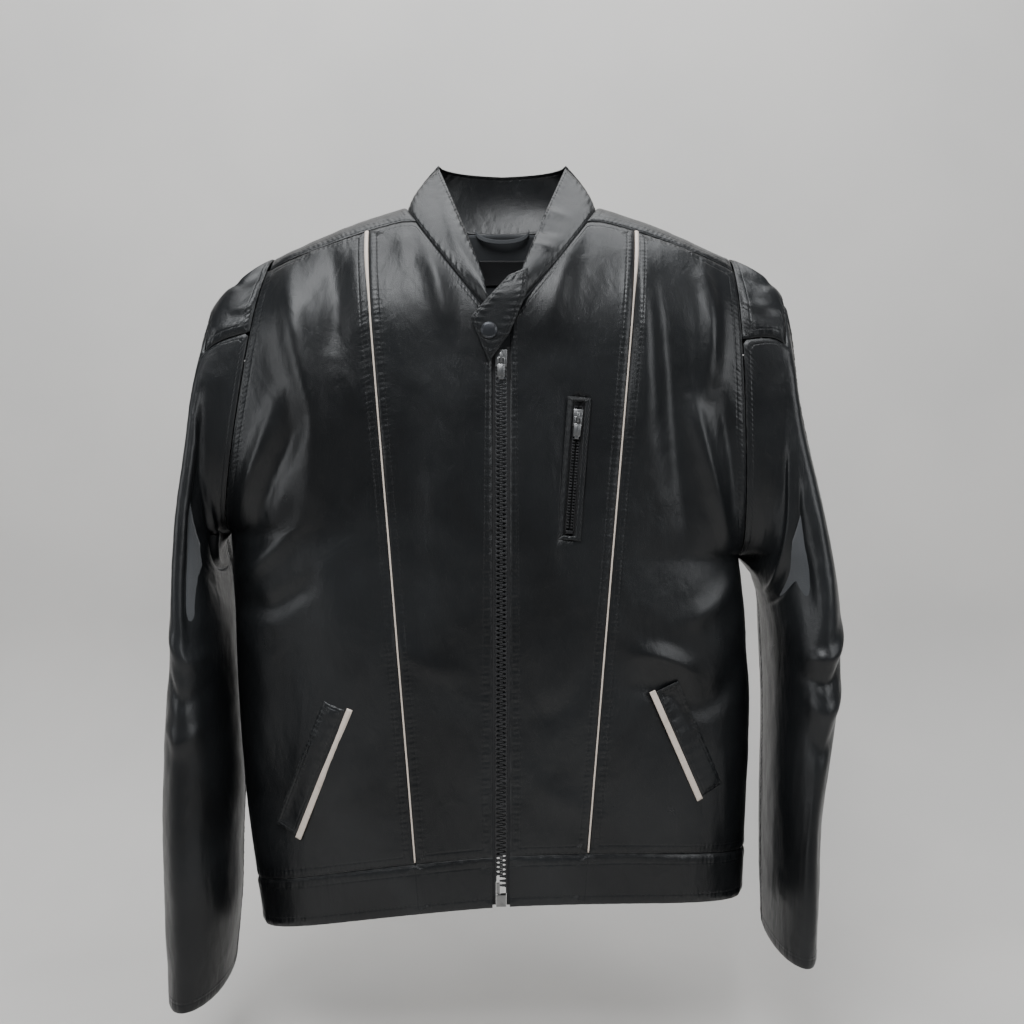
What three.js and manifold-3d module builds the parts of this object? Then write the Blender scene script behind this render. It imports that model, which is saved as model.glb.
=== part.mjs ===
// Leather riding jacket, hanging closed: collared, zipped, with a chest zip pocket, two welt pockets,
// piped front seams, a hem band, a snap tab on the collar and long two-piece sleeves.
// Millimetres. +X is the wearer's left, +Z is up and the wearer faces -Y.
// The origin is the middle of the neck, level with the neck end of the shoulders, where a hanger holds it.
import * as THREE from "three";
import { mergeVertices } from "three/addons/utils/BufferGeometryUtils.js";
import Module from "manifold-3d";

const wasm = await Module();
wasm.setup();

// ---------- Driving dimensions ----------
const LEATHER = 1.8; // one leather panel with its backing
const LINING = 0.8; // lining cloth
const GAP = 0.4; // clearance between pieces that touch
const SEAM_GAP = 0.8; // width of the groove between two panels at a seam
const COLLAR_SEAM_GAP = 3.2; // groove where the thick collar turns up from the neckline

const NECK_HALF_WIDTH = 91; // neck point of the shoulder
const SHOULDER_TIP = { x: 214, z: -49 }; // top end of the armhole seam
const SHOULDER_CURVE = 0.85; // below 1 the shoulder line sags towards its tip
const FRONT_DEPTH = 75; // front of the chest from the side seams
const BACK_DEPTH = 62; // back from the side seams
const TOP_DEPTH = 25; // half thickness of the shoulders at the neck
const TOP_HEIGHT = 130; // height over which the shoulders reach full depth
const ROUNDNESS = 2.4; // exponent of the torso's slices: 2 is an ellipse, more is squarer
const FLAT_HALF = { front: 12, back: 22 }; // flat strip down the middle of each slice
const ARMHOLE_BULGE = 70; // how far a slice would reach past the armhole seam

const NECK_DROP = { front: 125, back: 18 }; // neckline below the neck points
const HEM = { middle: -634, slope: 0.06, arch: 0.00045 }; // hem line across the body
const HEM_BAND = 44; // height of the hem band
const YOKE_DROP = { front: 20, back: 11, tip: 0.75 }; // yoke strip each side of the shoulder line
const BACK_YOKE = -150; // seam under the back yoke
const BACK_SEAM = 95; // seams between the back panel and its side panels

const PRINCESS = { top: 122, topZ: -35, foot: 76, footZ: -590 }; // piped seam down each front
const PIPING = { width: 2.2, proud: 1.4 };
const PLACKET = 7.5; // leather edge from the middle of the zip

// Each side's own drape. The armpit, the body's side line below it, and the sleeve as two lines:
// its outer and its inner edge, with the half depth and the fore-aft centre of each station.
const SIDES = {
  right: {
    sign: -1,
    armpit: { x: 256, z: -305 },
    side: [[256, -305], [250, -408], [242, -532], [229, -640], [220, -700]],
    outer: [[266, -104], [279, -180], [291, -275], [297, -370], [303, -465], [304, -560], [300, -640], [295, -714]],
    inner: [[264, -318], [266, -338], [262, -362], [257, -400], [251, -470], [245, -560], [243, -640], [249, -714]],
  },
  left: {
    sign: 1,
    armpit: { x: 223, z: -328 },
    side: [[223, -328], [231, -410], [232, -520], [226, -640], [220, -700]],
    outer: [[258, -90], [276, -180], [294, -275], [307, -370], [307, -455], [286, -556], [280, -622], [279, -676]],
    inner: [[236, -342], [243, -356], [248, -374], [250, -404], [251, -462], [247, -556], [244, -622], [243, -676]],
  },
};
const SLEEVE_DEPTH = [66, 70, 76, 82, 80, 74, 68, 64]; // half depth at each station
const SLEEVE_FORWARD = [0, 0, -2, -6, -12, -22, -32, -38]; // the forearm hangs forward
const SLEEVE_ROUNDNESS = 2.2;
const CAP = { length: 0.13, tight: 50, wide: 66 }; // shoulder cap: share of the sleeve, half angles in degrees
const SLEEVE_SEAM = 25; // angle of the sleeve's long seams from its outer edge
const CAP_GROOVE = 0.003; // share of the sleeve left open under the shoulder cap's edge
const ARMHOLE_GROOVE = 0.004;
const SLEEVE_GROOVE = 4.6; // groove between the sleeve's two panels

const COLLAR = { thick: 4, frontX: 14, frontZ: -82, frontY: -71, sideX: 62, sideY: 8, sideZ: 47, backY: 38, bulge: 5, join: 0.96 };

const ZIP = {
  top: -150, // upper end of the joined teeth
  bottom: -632,
  tapeTop: -140,
  pitch: 4,
  bite: 1.2, // how far a tooth passes the middle
  play: 0.5, // gap between the two rows of teeth
  spine: 4,
  teethThick: 2.9,
  tapeEdge: 4.7,
  tapeHalf: 16.5,
  tapeThick: 0.9,
};
const SLIDER = { half: 5.2, length: 15, plate: 1.1, wall: 0.75, bridge: 2, reach: 3.2 };
const PULL = { width: 7, length: 19, thick: 1.3, bar: 1.4, window: 2.8, windowHigh: 4.3 };
const RETAINER = { half: 4.3, height: 10, thick: 5.2 };
const PIN = { width: 1.8, thick: 1.8, height: 18 };

const TAB = {
  back: -79, // y of the face towards the wearer
  thick: 2.6,
  rootX: 23,
  outline: [[-27, -117], [-10.5, -156], [7, -132], [22, -97], [24, -72], [6, -80]],
};
const SNAP = { x: -10.5, z: -129, cap: 7.2, capThick: 2.4, base: 5, post: 2.6, socket: 5, socketThick: 1.6 };

const CHEST = { x: 64, z: -249, length: 127, width: 22, slot: 9.6, tilt: 4.3, frameThick: 1.3, sliderZ: 45 };
const CHEST_BAG = { left: -30, right: 22, top: 60, bottom: -110 };
const NECK = {
  facingHalf: 58,
  facingLow: -84,
  facingHigh: -24,
  labelHalf: 23,
  labelLow: -62,
  labelHigh: -38,
  loopHalf: 28,
  loopY: 28.2,
  loopLow: -27,
  loopHigh: -11,
};
const HAND = { width: 22, lift: 0.5, thick: 2, strip: 5.4, stripThick: 2.6, bagIn: 48, bagOut: 12, bagLow: 52, bagHigh: 50 };
const HAND_POCKETS = {
  right: { x: 158, z: -520, length: 128, tilt: 22.5 },
  left: { x: 156, z: -495, length: 108, tilt: 24 },
};
const POCKET = { wall: 0.9, space: 9 }; // pocket bag cloth and the room inside it
const LINING_DROP = { rim: 0.5, body: 15, back: 4, sleeve: 2.5, cuffFrom: 0.9 }; // lining behind the leather

// ---------- Small helpers ----------
const rad = THREE.MathUtils.degToRad;
const lerp = THREE.MathUtils.lerp;
const clamp01 = (t) => THREE.MathUtils.clamp(t, 0, 1);
const steps = (n) => Array.from({ length: n + 1 }, (_, i) => i / n);
const V = (x, y, z) => new THREE.Vector3(x, y, z);

// A smooth curve y(x) through a few [value, position] pairs sorted by falling position.
function profile(pairs) {
  const curve = new THREE.CatmullRomCurve3(pairs.map(([x, z]) => V(x, 0, z)), false, "centripetal");
  const points = curve.getPoints(40);
  return (z) => {
    if (z >= points[0].z) return points[0].x;
    for (let i = 1; i < points.length; i++) {
      if (z >= points[i].z) {
        const t = (points[i - 1].z - z) / (points[i - 1].z - points[i].z);
        return lerp(points[i - 1].x, points[i].x, t);
      }
    }
    return points[points.length - 1].x;
  };
}

// A smooth curve through numbers at equal steps of t from 0 to 1.
function along(values) {
  const points = values.map((v, i) => V(v, i, 0));
  const curve = new THREE.CatmullRomCurve3(points, false, "catmullrom", 0.5);
  return (t) => curve.getPoint(clamp01(t)).x;
}

// ---------- The body's surface ----------
for (const side of Object.values(SIDES)) side.sideX = profile(side.side);

const ridgeZ = (x) => {
  const share = clamp01((x - NECK_HALF_WIDTH) / (SHOULDER_TIP.x - NECK_HALF_WIDTH));
  return SHOULDER_TIP.z * share ** (1 / SHOULDER_CURVE);
};
const armholeX = (side, z) => {
  const share = (z - SHOULDER_TIP.z) / (side.armpit.z - SHOULDER_TIP.z);
  return lerp(SHOULDER_TIP.x, side.armpit.x, clamp01(share));
};

// Half width of the slice at height z.
function sliceWidth(side, z) {
  if (z >= 0) return NECK_HALF_WIDTH;
  if (z > SHOULDER_TIP.z)
    return NECK_HALF_WIDTH + (SHOULDER_TIP.x - NECK_HALF_WIDTH) * (z / SHOULDER_TIP.z) ** SHOULDER_CURVE;
  if (z > side.armpit.z) {
    const share = (z - SHOULDER_TIP.z) / (side.armpit.z - SHOULDER_TIP.z);
    return armholeX(side, z) + ARMHOLE_BULGE * Math.sin(Math.PI * share) ** 0.8;
  }
  return side.sideX(z);
}
function sliceDepth(full, z) {
  const share = clamp01(-z / TOP_HEIGHT);
  return TOP_DEPTH + (full - TOP_DEPTH) * (1 - (1 - share) ** 2);
}
// Depth of the surface at distance x from the middle: 0 at the slice's side.
function depthAt(side, x, z, face) {
  const flat = FLAT_HALF[face];
  const full = face === "front" ? FRONT_DEPTH : BACK_DEPTH;
  const share = clamp01((x - flat) / (sliceWidth(side, z) - flat));
  return sliceDepth(full, z) * (1 - share ** ROUNDNESS) ** (1 / ROUNDNESS);
}
const facing = { front: -1, back: 1 };
const onBody = (side, x, z, face) => V(side.sign * x, facing[face] * depthAt(side, x, z, face), z);

// Position across a slice by angle, 0 in the middle and 1 at the slice's side, even where it turns.
function acrossTo(side, turn, z, face) {
  const flat = FLAT_HALF[face];
  return flat + (sliceWidth(side, z) - flat) * Math.sin((turn * Math.PI) / 2) ** (2 / ROUNDNESS);
}
function turnOf(side, x, z, face) {
  const flat = FLAT_HALF[face];
  const share = clamp01((x - flat) / (sliceWidth(side, z) - flat));
  return (Math.asin(share ** (ROUNDNESS / 2)) * 2) / Math.PI;
}

const princessX = (z) =>
  lerp(PRINCESS.foot, PRINCESS.top, (z - PRINCESS.footZ) / (PRINCESS.topZ - PRINCESS.footZ));
const hemZ = (x) => HEM.middle + HEM.slope * x - HEM.arch * x * x;
const bandZ = (x) => hemZ(x) + HEM_BAND;
const frontNeckZ = (x) => -NECK_DROP.front * clamp01(1 - x / NECK_HALF_WIDTH) ** 0.9;
const backNeckZ = (x) => -NECK_DROP.back * (1 - clamp01(x / NECK_HALF_WIDTH) ** 2);
function yokeZ(x, face) {
  const share = clamp01((x - NECK_HALF_WIDTH) / (SHOULDER_TIP.x - NECK_HALF_WIDTH));
  return ridgeZ(x) - YOKE_DROP[face] * lerp(1, YOKE_DROP.tip, share);
}

// ---------- Solids ----------
// A sheet of cloth or leather: the surface pointAt(u, v) between two depths under it. u and v are
// lists from 0 to 1, groove is the gap left all round and a depth may differ between rim and middle.
function sheet(pointAt, us, vs, top, bottom, groove = SEAM_GAP, flip = false) {
  const grid = us.map((u) => vs.map((v) => pointAt(u, v)));
  const pull = (p, q, by) => p.clone().add(q.clone().sub(p).normalize().multiplyScalar(by));
  const m = us.length - 1;
  const n = vs.length - 1;
  const normals = grid.map((row, i) =>
    row.map((_, j) => {
      const du = grid[Math.min(i + 1, m)][j].clone().sub(grid[Math.max(i - 1, 0)][j]);
      const dv = grid[i][Math.min(j + 1, n)].clone().sub(grid[i][Math.max(j - 1, 0)]);
      return du.cross(dv).normalize().multiplyScalar(flip ? 1 : -1);
    }),
  );
  const inset = grid.map((row, i) =>
    row.map((p, j) => {
      let q = p;
      if (i === 0) q = pull(q, grid[1][j], groove / 2);
      if (i === m) q = pull(q, grid[m - 1][j], groove / 2);
      if (j === 0) q = pull(q, grid[i][1], groove / 2);
      if (j === n) q = pull(q, grid[i][n - 1], groove / 2);
      return q;
    }),
  );
  const layer = (depth) =>
    inset.map((row, i) =>
      row.map((p, j) => {
        const rim = i === 0 || i === m || j === 0 || j === n;
        const d = typeof depth === "function" ? depth(rim) : depth;
        return p.clone().addScaledVector(normals[i][j], -d);
      }),
    );
  return closeLayers(layer(top), layer(bottom), false);
}

// Joins two layers of points into one closed skin; ring closes it round in u.
function closeLayers(outer, inner, ring) {
  const m = outer.length;
  const n = outer[0].length;
  const points = [...outer.flat(), ...inner.flat()];
  const at = (layer, i, j) => layer * m * n + (i % m) * n + j;
  const index = [];
  const quad = (a, b, c, d) => index.push(a, b, c, a, c, d);
  const columns = ring ? m : m - 1;
  for (let i = 0; i < columns; i++) {
    for (let j = 0; j < n - 1; j++) {
      quad(at(0, i, j), at(0, i + 1, j), at(0, i + 1, j + 1), at(0, i, j + 1));
      quad(at(1, i, j), at(1, i, j + 1), at(1, i + 1, j + 1), at(1, i + 1, j));
    }
    quad(at(0, i + 1, 0), at(0, i, 0), at(1, i, 0), at(1, i + 1, 0));
    quad(at(0, i, n - 1), at(0, i + 1, n - 1), at(1, i + 1, n - 1), at(1, i, n - 1));
  }
  if (!ring) {
    for (let j = 0; j < n - 1; j++) {
      quad(at(0, 0, j), at(0, 0, j + 1), at(1, 0, j + 1), at(1, 0, j));
      quad(at(0, m - 1, j + 1), at(0, m - 1, j), at(1, m - 1, j), at(1, m - 1, j + 1));
    }
  }
  const geometry = new THREE.BufferGeometry().setFromPoints(points);
  geometry.setIndex(index);
  return outwards(geometry);
}

// Turns every face round if the closed geometry is inside out.
function outwards(raw) {
  const geometry = raw.index ? raw : merged(raw);
  const p = geometry.getAttribute("position");
  const index = geometry.index.array;
  let volume = 0;
  const [a, b, c] = [V(), V(), V()];
  for (let i = 0; i < index.length; i += 3) {
    a.fromBufferAttribute(p, index[i]);
    b.fromBufferAttribute(p, index[i + 1]);
    c.fromBufferAttribute(p, index[i + 2]);
    volume += a.dot(b.cross(c));
  }
  if (volume < 0)
    for (let i = 0; i < index.length; i += 3) [index[i + 1], index[i + 2]] = [index[i + 2], index[i + 1]];
  return geometry;
}

function merged(geometry) {
  const bare = geometry.clone();
  bare.deleteAttribute("normal");
  bare.deleteAttribute("uv");
  return mergeVertices(bare, 1e-4);
}
const toSolid = (geometry) => {
  const whole = merged(geometry);
  return new wasm.Manifold(
    new wasm.Mesh({
      numProp: 3,
      vertProperties: whole.attributes.position.array,
      triVerts: new Uint32Array(whole.index.array),
    }),
  );
};
const toGeometry = (solid) => {
  const mesh = solid.getMesh();
  const geometry = new THREE.BufferGeometry();
  geometry.setAttribute("position", new THREE.BufferAttribute(mesh.vertProperties, 3));
  geometry.setIndex(new THREE.BufferAttribute(mesh.triVerts, 1));
  return geometry;
};
const subtract = (a, ...cuts) =>
  toGeometry(cuts.reduce((solid, cut) => solid.subtract(toSolid(cut)), toSolid(a)));
const unite = (...parts) => toGeometry(parts.map(toSolid).reduce((all, part) => all.add(part)));

// A box from its lowest to its highest corner.
function block(low, high) {
  const size = high.map((h, i) => h - low[i]);
  return new THREE.BoxGeometry(...size).translate(...low.map((l, i) => l + size[i] / 2));
}
// An outline in X and Z, given a thickness from y0 back to y1.
function plate(outline, y0, y1, holes = []) {
  const shape = new THREE.Shape(outline.map(([x, z]) => new THREE.Vector2(x, z)));
  shape.holes = holes;
  const geometry = new THREE.ExtrudeGeometry(shape, { depth: y1 - y0, bevelEnabled: false, curveSegments: 8 });
  return geometry.rotateX(Math.PI / 2).translate(0, y1, 0);
}
// A turned piece round an axis along Y: pairs of radius and distance in front of y0.
function turned(pairs, x, y0, z, segments = 20) {
  const points = pairs.map(([r, d]) => new THREE.Vector2(r, d));
  return outwards(new THREE.LatheGeometry(points, segments).rotateX(Math.PI).translate(x, y0, z));
}

// ---------- The assembly ----------
const jacket = new THREE.Group();
const finishes = {
  leather: { color: 0x1b1d20, roughness: 0.42, metalness: 0 },
  lining: { color: 0x2b2e33, roughness: 0.8, metalness: 0 },
  piping: { color: 0xcfc0b2, roughness: 0.55, metalness: 0 },
  tape: { color: 0x141517, roughness: 0.9, metalness: 0 },
  teeth: { color: 0x1d1e20, roughness: 0.4, metalness: 0 },
  metal: { color: 0x8d8f90, roughness: 0.35, metalness: 1 },
  snap: { color: 0x34363a, roughness: 0.35, metalness: 0.8 },
  label: { color: 0x17181a, roughness: 0.7, metalness: 0 },
};
function add(name, geometry, finish) {
  const mesh = new THREE.Mesh(geometry, new THREE.MeshStandardMaterial(finishes[finish]));
  mesh.name = name;
  jacket.add(mesh);
  return mesh;
}
const both = Object.entries(SIDES);

// A patch of the body between two lines across and two lines up, as pointAt(u, v).
// turnFrom and turnTo give the slice angle at height z; bottom and top give heights at distance x.
const patch = (side, face, turnFrom, turnTo, bottom, top) => (u, v) => {
  let z = lerp(-HEM.middle * -1, 0, v);
  let x = 0;
  for (let pass = 0; pass < 4; pass++) {
    const turn = lerp(turnFrom(z), turnTo(z), u);
    x = acrossTo(side, turn, z, face);
    z = lerp(bottom(x), top(x), v);
  }
  return onBody(side, x, z, face);
};
// How deep a loose lining lies: close at its rim, further in behind the pockets.
const liningDepth = (body, extra) => (rim) => LEATHER + (rim ? LINING_DROP.rim : body) + extra;
// Grid lines: the narrow cells next to a rim let the lining drop away steeply behind the pockets.
const FRONT_LINES = [0, 0.12, 0.18, 0.4, 0.6, 0.8, 0.95, 1];
const SIDE_LINES = [0, 0.05, 0.2, 0.35, 0.5, 0.65, 0.8, 0.95, 1];
const BODY_LINES = [0, 0.03, 0.1, 0.2, 0.3, 0.4, 0.5, 0.6, 0.7, 0.8, 0.9, 0.97, 1];
const SIDE_SEAM = 0.995; // share of the quarter turn at which a slice's front half ends

// ----- Front panels, side panels, hem bands -----
const CHEST_TURN = rad(CHEST.tilt);
const tilted = (geometry, at, angle) => geometry.rotateY(angle).translate(at.x, 0, at.z);
const chestSlot = tilted(
  block([-CHEST.slot / 2, -FRONT_DEPTH - 5, -CHEST.length / 2 + 5], [CHEST.slot / 2, -60, CHEST.length / 2 - 5]),
  CHEST,
  CHEST_TURN,
);
for (const [name, side] of both) {
  const flip = side.sign > 0;
  const princess = (z) => turnOf(side, princessX(z), z, "front");
  const sideSeam = (z) => (z > side.armpit.z ? turnOf(side, armholeX(side, z), z, "front") : SIDE_SEAM);
  const bandLine = (x) => bandZ(side.sign * x);
  const hemLine = (x) => hemZ(side.sign * x);
  const frontTop = (x) => (x < NECK_HALF_WIDTH ? frontNeckZ(x) : yokeZ(x, "front"));

  const across = (z) => (u) => lerp(PLACKET, princessX(z), u);
  const frontBetween = (bottom, top) => (u, v) => {
    let z = lerp(bottom(PLACKET), top(PLACKET), v);
    let x = across(z)(u);
    for (let pass = 0; pass < 6; pass++) {
      z = lerp(bottom(x), top(x), v);
      x = across(z)(u);
    }
    return onBody(side, x, z, "front");
  };
  const frontPanel = frontBetween(bandLine, frontTop);
  const panel = sheet(frontPanel, FRONT_LINES, BODY_LINES, 0, LEATHER, SEAM_GAP, flip);
  add("front_panel_" + name, name === "left" ? subtract(panel, chestSlot) : panel, "leather");
  // The facing side of the lining starts behind the zip tape's edge.
  const depths = [liningDepth(LINING_DROP.body, 0), liningDepth(LINING_DROP.body, LINING)];
  const liningSheet = sheet(frontPanel, FRONT_LINES.slice(1), BODY_LINES, ...depths, SEAM_GAP * 3, flip);
  add("front_lining_" + name, liningSheet, "lining");
  const bandFront = frontBetween(hemLine, bandLine);
  add("hem_band_front_" + name, sheet(bandFront, steps(4), steps(2), 0, LEATHER, SEAM_GAP, flip), "leather");

  const sidePanel = patch(side, "front", princess, sideSeam, bandLine, (x) => yokeZ(x, "front") - GAP);
  add("front_side_panel_" + name, sheet(sidePanel, SIDE_LINES, BODY_LINES, 0, LEATHER, SEAM_GAP, flip), "leather");
  const sideLining = sheet(sidePanel, SIDE_LINES, BODY_LINES, ...depths, SEAM_GAP * 2, flip);
  add("side_lining_" + name, sideLining, "lining");
  const bandSide = patch(side, "front", princess, () => SIDE_SEAM, hemLine, bandLine);
  add("hem_band_side_" + name, sheet(bandSide, steps(6), steps(2), 0, LEATHER, SEAM_GAP, flip), "leather");

  // Piping stands proud of the seam on the side panel's edge.
  const pipeEdge = (offset) => (z) => turnOf(side, princessX(z) + offset, z, "front");
  const [near, far] = [pipeEdge(SEAM_GAP), pipeEdge(SEAM_GAP + PIPING.width)];
  const pipe = patch(side, "front", near, far, bandLine, (x) => yokeZ(x, "front"));
  const pipeSheet = sheet(pipe, [0, 1], BODY_LINES, -GAP - PIPING.proud, -GAP, 2 * PIPING.width, flip);
  add("princess_piping_" + name, pipeSheet, "piping");

  // Shoulder yoke: a strip over the shoulder line.
  const yoke = (u, v) => {
    const x = lerp(NECK_HALF_WIDTH + 1.6, SHOULDER_TIP.x, u);
    const w = 2 * v - 1;
    const face = w < 0 ? "front" : "back";
    const z = ridgeZ(x) - (ridgeZ(x) - yokeZ(x, face)) * Math.abs(w) ** ROUNDNESS;
    return onBody(side, x, z, face);
  };
  add("shoulder_yoke_" + name, sheet(yoke, steps(5), steps(8), 0, LEATHER, SEAM_GAP, flip), "leather");
}

// ----- Back -----
const wholeBack = (from, to, bottom, top) => (u, v) => {
  const x = lerp(from, to, u);
  const side = x < 0 ? SIDES.right : SIDES.left;
  const z = lerp(bottom(x), top(x), v);
  return onBody(side, Math.abs(x), z, "back");
};
const centreBack = wholeBack(-BACK_SEAM, BACK_SEAM, bandZ, () => BACK_YOKE);
const backLines = [0, 0.2, 0.385, 0.615, 0.8, 1];
add("back_panel", sheet(centreBack, backLines, steps(8), 0, LEATHER), "leather");
const liningBack = [liningDepth(LINING_DROP.back, 0), liningDepth(LINING_DROP.back, LINING)];
add("back_lining", sheet(centreBack, backLines, steps(8), ...liningBack, SEAM_GAP * 2), "lining");
for (const [name, side] of both) {
  const flip = side.sign < 0;
  const seam = (z) => turnOf(side, BACK_SEAM, z, "back");
  const edge = (z) => (z > side.armpit.z ? turnOf(side, armholeX(side, z), z, "back") : SIDE_SEAM);
  const panel = patch(side, "back", seam, edge, (x) => bandZ(side.sign * x), () => BACK_YOKE);
  add("back_side_panel_" + name, sheet(panel, steps(6), steps(9), 0, LEATHER, SEAM_GAP, flip), "leather");
}
// The back yoke reaches from armhole to armhole and up to the neckline and the shoulder strips.
const yokeHalf = (side) => (z) => turnOf(side, armholeX(side, z), z, "back");
const backYokeTop = (x) =>
  x < NECK_HALF_WIDTH ? backNeckZ(x) - 3.6 - YOKE_DROP.back * (x / NECK_HALF_WIDTH) ** 8 : yokeZ(x, "back") - 3.6;
const backYoke = (u, v) => {
  const side = u < 0.5 ? SIDES.right : SIDES.left;
  const share = Math.abs(2 * u - 1);
  return patch(side, "back", () => 0, yokeHalf(side), () => BACK_YOKE, backYokeTop)(share, v);
};
const yokeLines = [0, 0.12, 0.25, 0.36, 0.45, 0.55, 0.64, 0.75, 0.88, 1];
add("back_yoke", sheet(backYoke, yokeLines, steps(4), 0, LEATHER), "leather");
const bandBack = (u, v) => {
  const side = u < 0.5 ? SIDES.right : SIDES.left;
  const line = (rise) => (x) => hemZ(side.sign * x) + rise;
  return patch(side, "back", () => 0, () => SIDE_SEAM, line(0), line(HEM_BAND))(Math.abs(2 * u - 1), v);
};
const bandLines = [0, 0.08, 0.16, 0.25, 0.35, 0.45, 0.55, 0.65, 0.75, 0.84, 0.92, 1];
add("hem_band_back", sheet(bandBack, bandLines, steps(2), 0, LEATHER), "leather");

// ----- Collar -----
const neckline = (side, t) => {
  const x = lerp(PLACKET - 1.5, NECK_HALF_WIDTH, t);
  return onBody(side, x, frontNeckZ(x), "front");
};
const collarTop = (side, t) =>
  V(
    side.sign * lerp(COLLAR.frontX, COLLAR.sideX, t),
    lerp(COLLAR.frontY, COLLAR.sideY, t ** 1.15),
    lerp(COLLAR.frontZ, COLLAR.sideZ, t ** 0.95),
  );
const backNeck = (side, r) => {
  const x = NECK_HALF_WIDTH * Math.cos((r * Math.PI) / 2);
  return onBody(side, x, backNeckZ(x), "back");
};
const backTop = (side, r) => {
  const turn = (r * Math.PI) / 2;
  const y = lerp(COLLAR.sideY, COLLAR.backY, Math.sin(turn));
  return V(side.sign * COLLAR.sideX * Math.cos(turn), y, COLLAR.sideZ - 3 * r);
};
const bulged = (low, high, w) => {
  const p = low.clone().lerp(high, w);
  const out = V(p.x, p.y + 20, 0).normalize();
  return p.addScaledVector(out, COLLAR.bulge * Math.sin(Math.PI * w));
};
for (const [name, side] of both) {
  const front = (u, v) => bulged(neckline(side, u * COLLAR.join), collarTop(side, u * COLLAR.join), v);
  const depths = [0, COLLAR.thick];
  const geometry = sheet(front, steps(8), steps(3), ...depths, COLLAR_SEAM_GAP, side.sign > 0);
  add("collar_front_" + name, geometry, "leather");
}
const collarBack = (u, v) => {
  const side = u < 0.5 ? SIDES.right : SIDES.left;
  const r = lerp(COLLAR.join, 0, Math.abs(2 * u - 1)) + 1 - COLLAR.join;
  return bulged(backNeck(side, r), backTop(side, r), v);
};
add("collar_back", sheet(collarBack, steps(12), steps(3), 0, COLLAR.thick, COLLAR_SEAM_GAP), "leather");

// ----- Sleeves -----
for (const [name, side] of both) {
  const outer = [[SHOULDER_TIP.x, SHOULDER_TIP.z], ...side.outer];
  const inner = [[side.armpit.x, side.armpit.z], ...side.inner];
  const lines = [outer, inner].map((line) => [along(line.map((p) => p[0])), along(line.map((p) => p[1]))]);
  const half = along([SLEEVE_DEPTH[0], ...SLEEVE_DEPTH]);
  const forward = along([0, ...SLEEVE_FORWARD]);
  // s runs from 0 at the armhole to 1 at the cuff, angle from 0 outside, by the front, round to 360.
  const tube = (degrees, s) => {
    const angle = rad(degrees);
    const [o, i] = lines.map(([x, z]) => V(x(s), 0, z(s)));
    const middle = o.clone().add(i).multiplyScalar(0.5);
    const reach = o.clone().sub(i).multiplyScalar(0.5 * Math.cos(angle));
    const p = middle.add(reach);
    const front = Math.sin(angle) > 0 ? "front" : "back";
    const round = Math.abs(Math.sin(angle)) ** (2 / SLEEVE_ROUNDNESS);
    const atArmhole = depthAt(side, armholeX(side, p.z), p.z, front);
    const blend = THREE.MathUtils.smoothstep(s, 0, 0.3);
    const y = lerp(facing[front] * atArmhole, facing[front] * half(s) * round + forward(s), blend);
    return V(side.sign * p.x, s < 0.001 ? facing[front] * atArmhole : y, p.z);
  };
  const capEdge = (degrees) => {
    const away = Math.abs(degrees > 180 ? degrees - 360 : degrees);
    return CAP.length * clamp01((CAP.wide - away) / (CAP.wide - CAP.tight));
  };
  const cap = (u, v) => {
    const share = 2 * u - 1;
    return tube((share * lerp(CAP.wide, CAP.tight, v) + 360) % 360, v * CAP.length);
  };
  const flip = side.sign > 0;
  add("shoulder_cap_" + name, sheet(cap, steps(8), steps(3), 0, LEATHER, SEAM_GAP, flip), "leather");
  const frontAngles = [SLEEVE_SEAM, CAP.tight, CAP.wide, 90, 115, 140, 165, 185, 180 + SLEEVE_SEAM];
  const backAngles = [180 + SLEEVE_SEAM, 225, 247, 270, 360 - CAP.wide, 360 - CAP.tight, 330, 353, 360 + SLEEVE_SEAM];
  for (const [half, angles] of [["front", frontAngles], ["back", backAngles]]) {
    const first = angles[0];
    const span = angles[angles.length - 1] - first;
    const us = angles.map((a) => (a - first) / span);
    const panel = (u, v) => {
      const degrees = (first + u * span) % 360;
      const edge = capEdge(degrees);
      return tube(degrees, lerp(edge + (edge > 0 ? CAP_GROOVE : ARMHOLE_GROOVE), 1, v));
    };
    add("sleeve_" + half + "_" + name, sheet(panel, us, steps(13), 0, LEATHER, SLEEVE_GROOVE, flip), "leather");
  }
  // The lining hangs clear inside from the upper arm down and meets the leather at the cuff.
  const ringAngles = [25, 50, 90, 115, 140, 165, 185, 205, 225, 247, 270, 310, 353];
  const ringStations = [0.42, 0.5, 0.58, 0.66, 0.75, 0.84, 0.92, 0.96];
  const layer = (extra) =>
    ringAngles.map((angle) =>
      ringStations.map((s) => {
        const p = tube(angle, s);
        const [before, after] = [tube(angle - 4, s), tube(angle + 4, s)];
        const ahead = tube(angle, s + 0.01);
        const normal = after.sub(before).cross(ahead.sub(p)).normalize();
        const drop = s > LINING_DROP.cuffFrom ? LINING_DROP.rim : LINING_DROP.sleeve;
        return p.addScaledVector(normal, -side.sign * (LEATHER + drop + extra));
      }),
    );
  add("sleeve_lining_" + name, closeLayers(layer(0), layer(LINING), true), "lining");
}

// ----- Zips -----
// One row of teeth as a zigzag comb between z0 and z1: the spine lies at edge, the teeth reach past 0.
function comb(edge, z0, z1, bite, play) {
  const sign = Math.sign(edge);
  const outline = [[edge, z0], [edge, z1]];
  const count = Math.floor((2 * (z1 - z0)) / ZIP.pitch);
  for (let i = 0; i <= count; i++) {
    outline.push([(i % 2 ? bite : -bite) + (sign * play) / 2, z1 - (i * ZIP.pitch) / 2]);
  }
  return outline;
}
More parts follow.
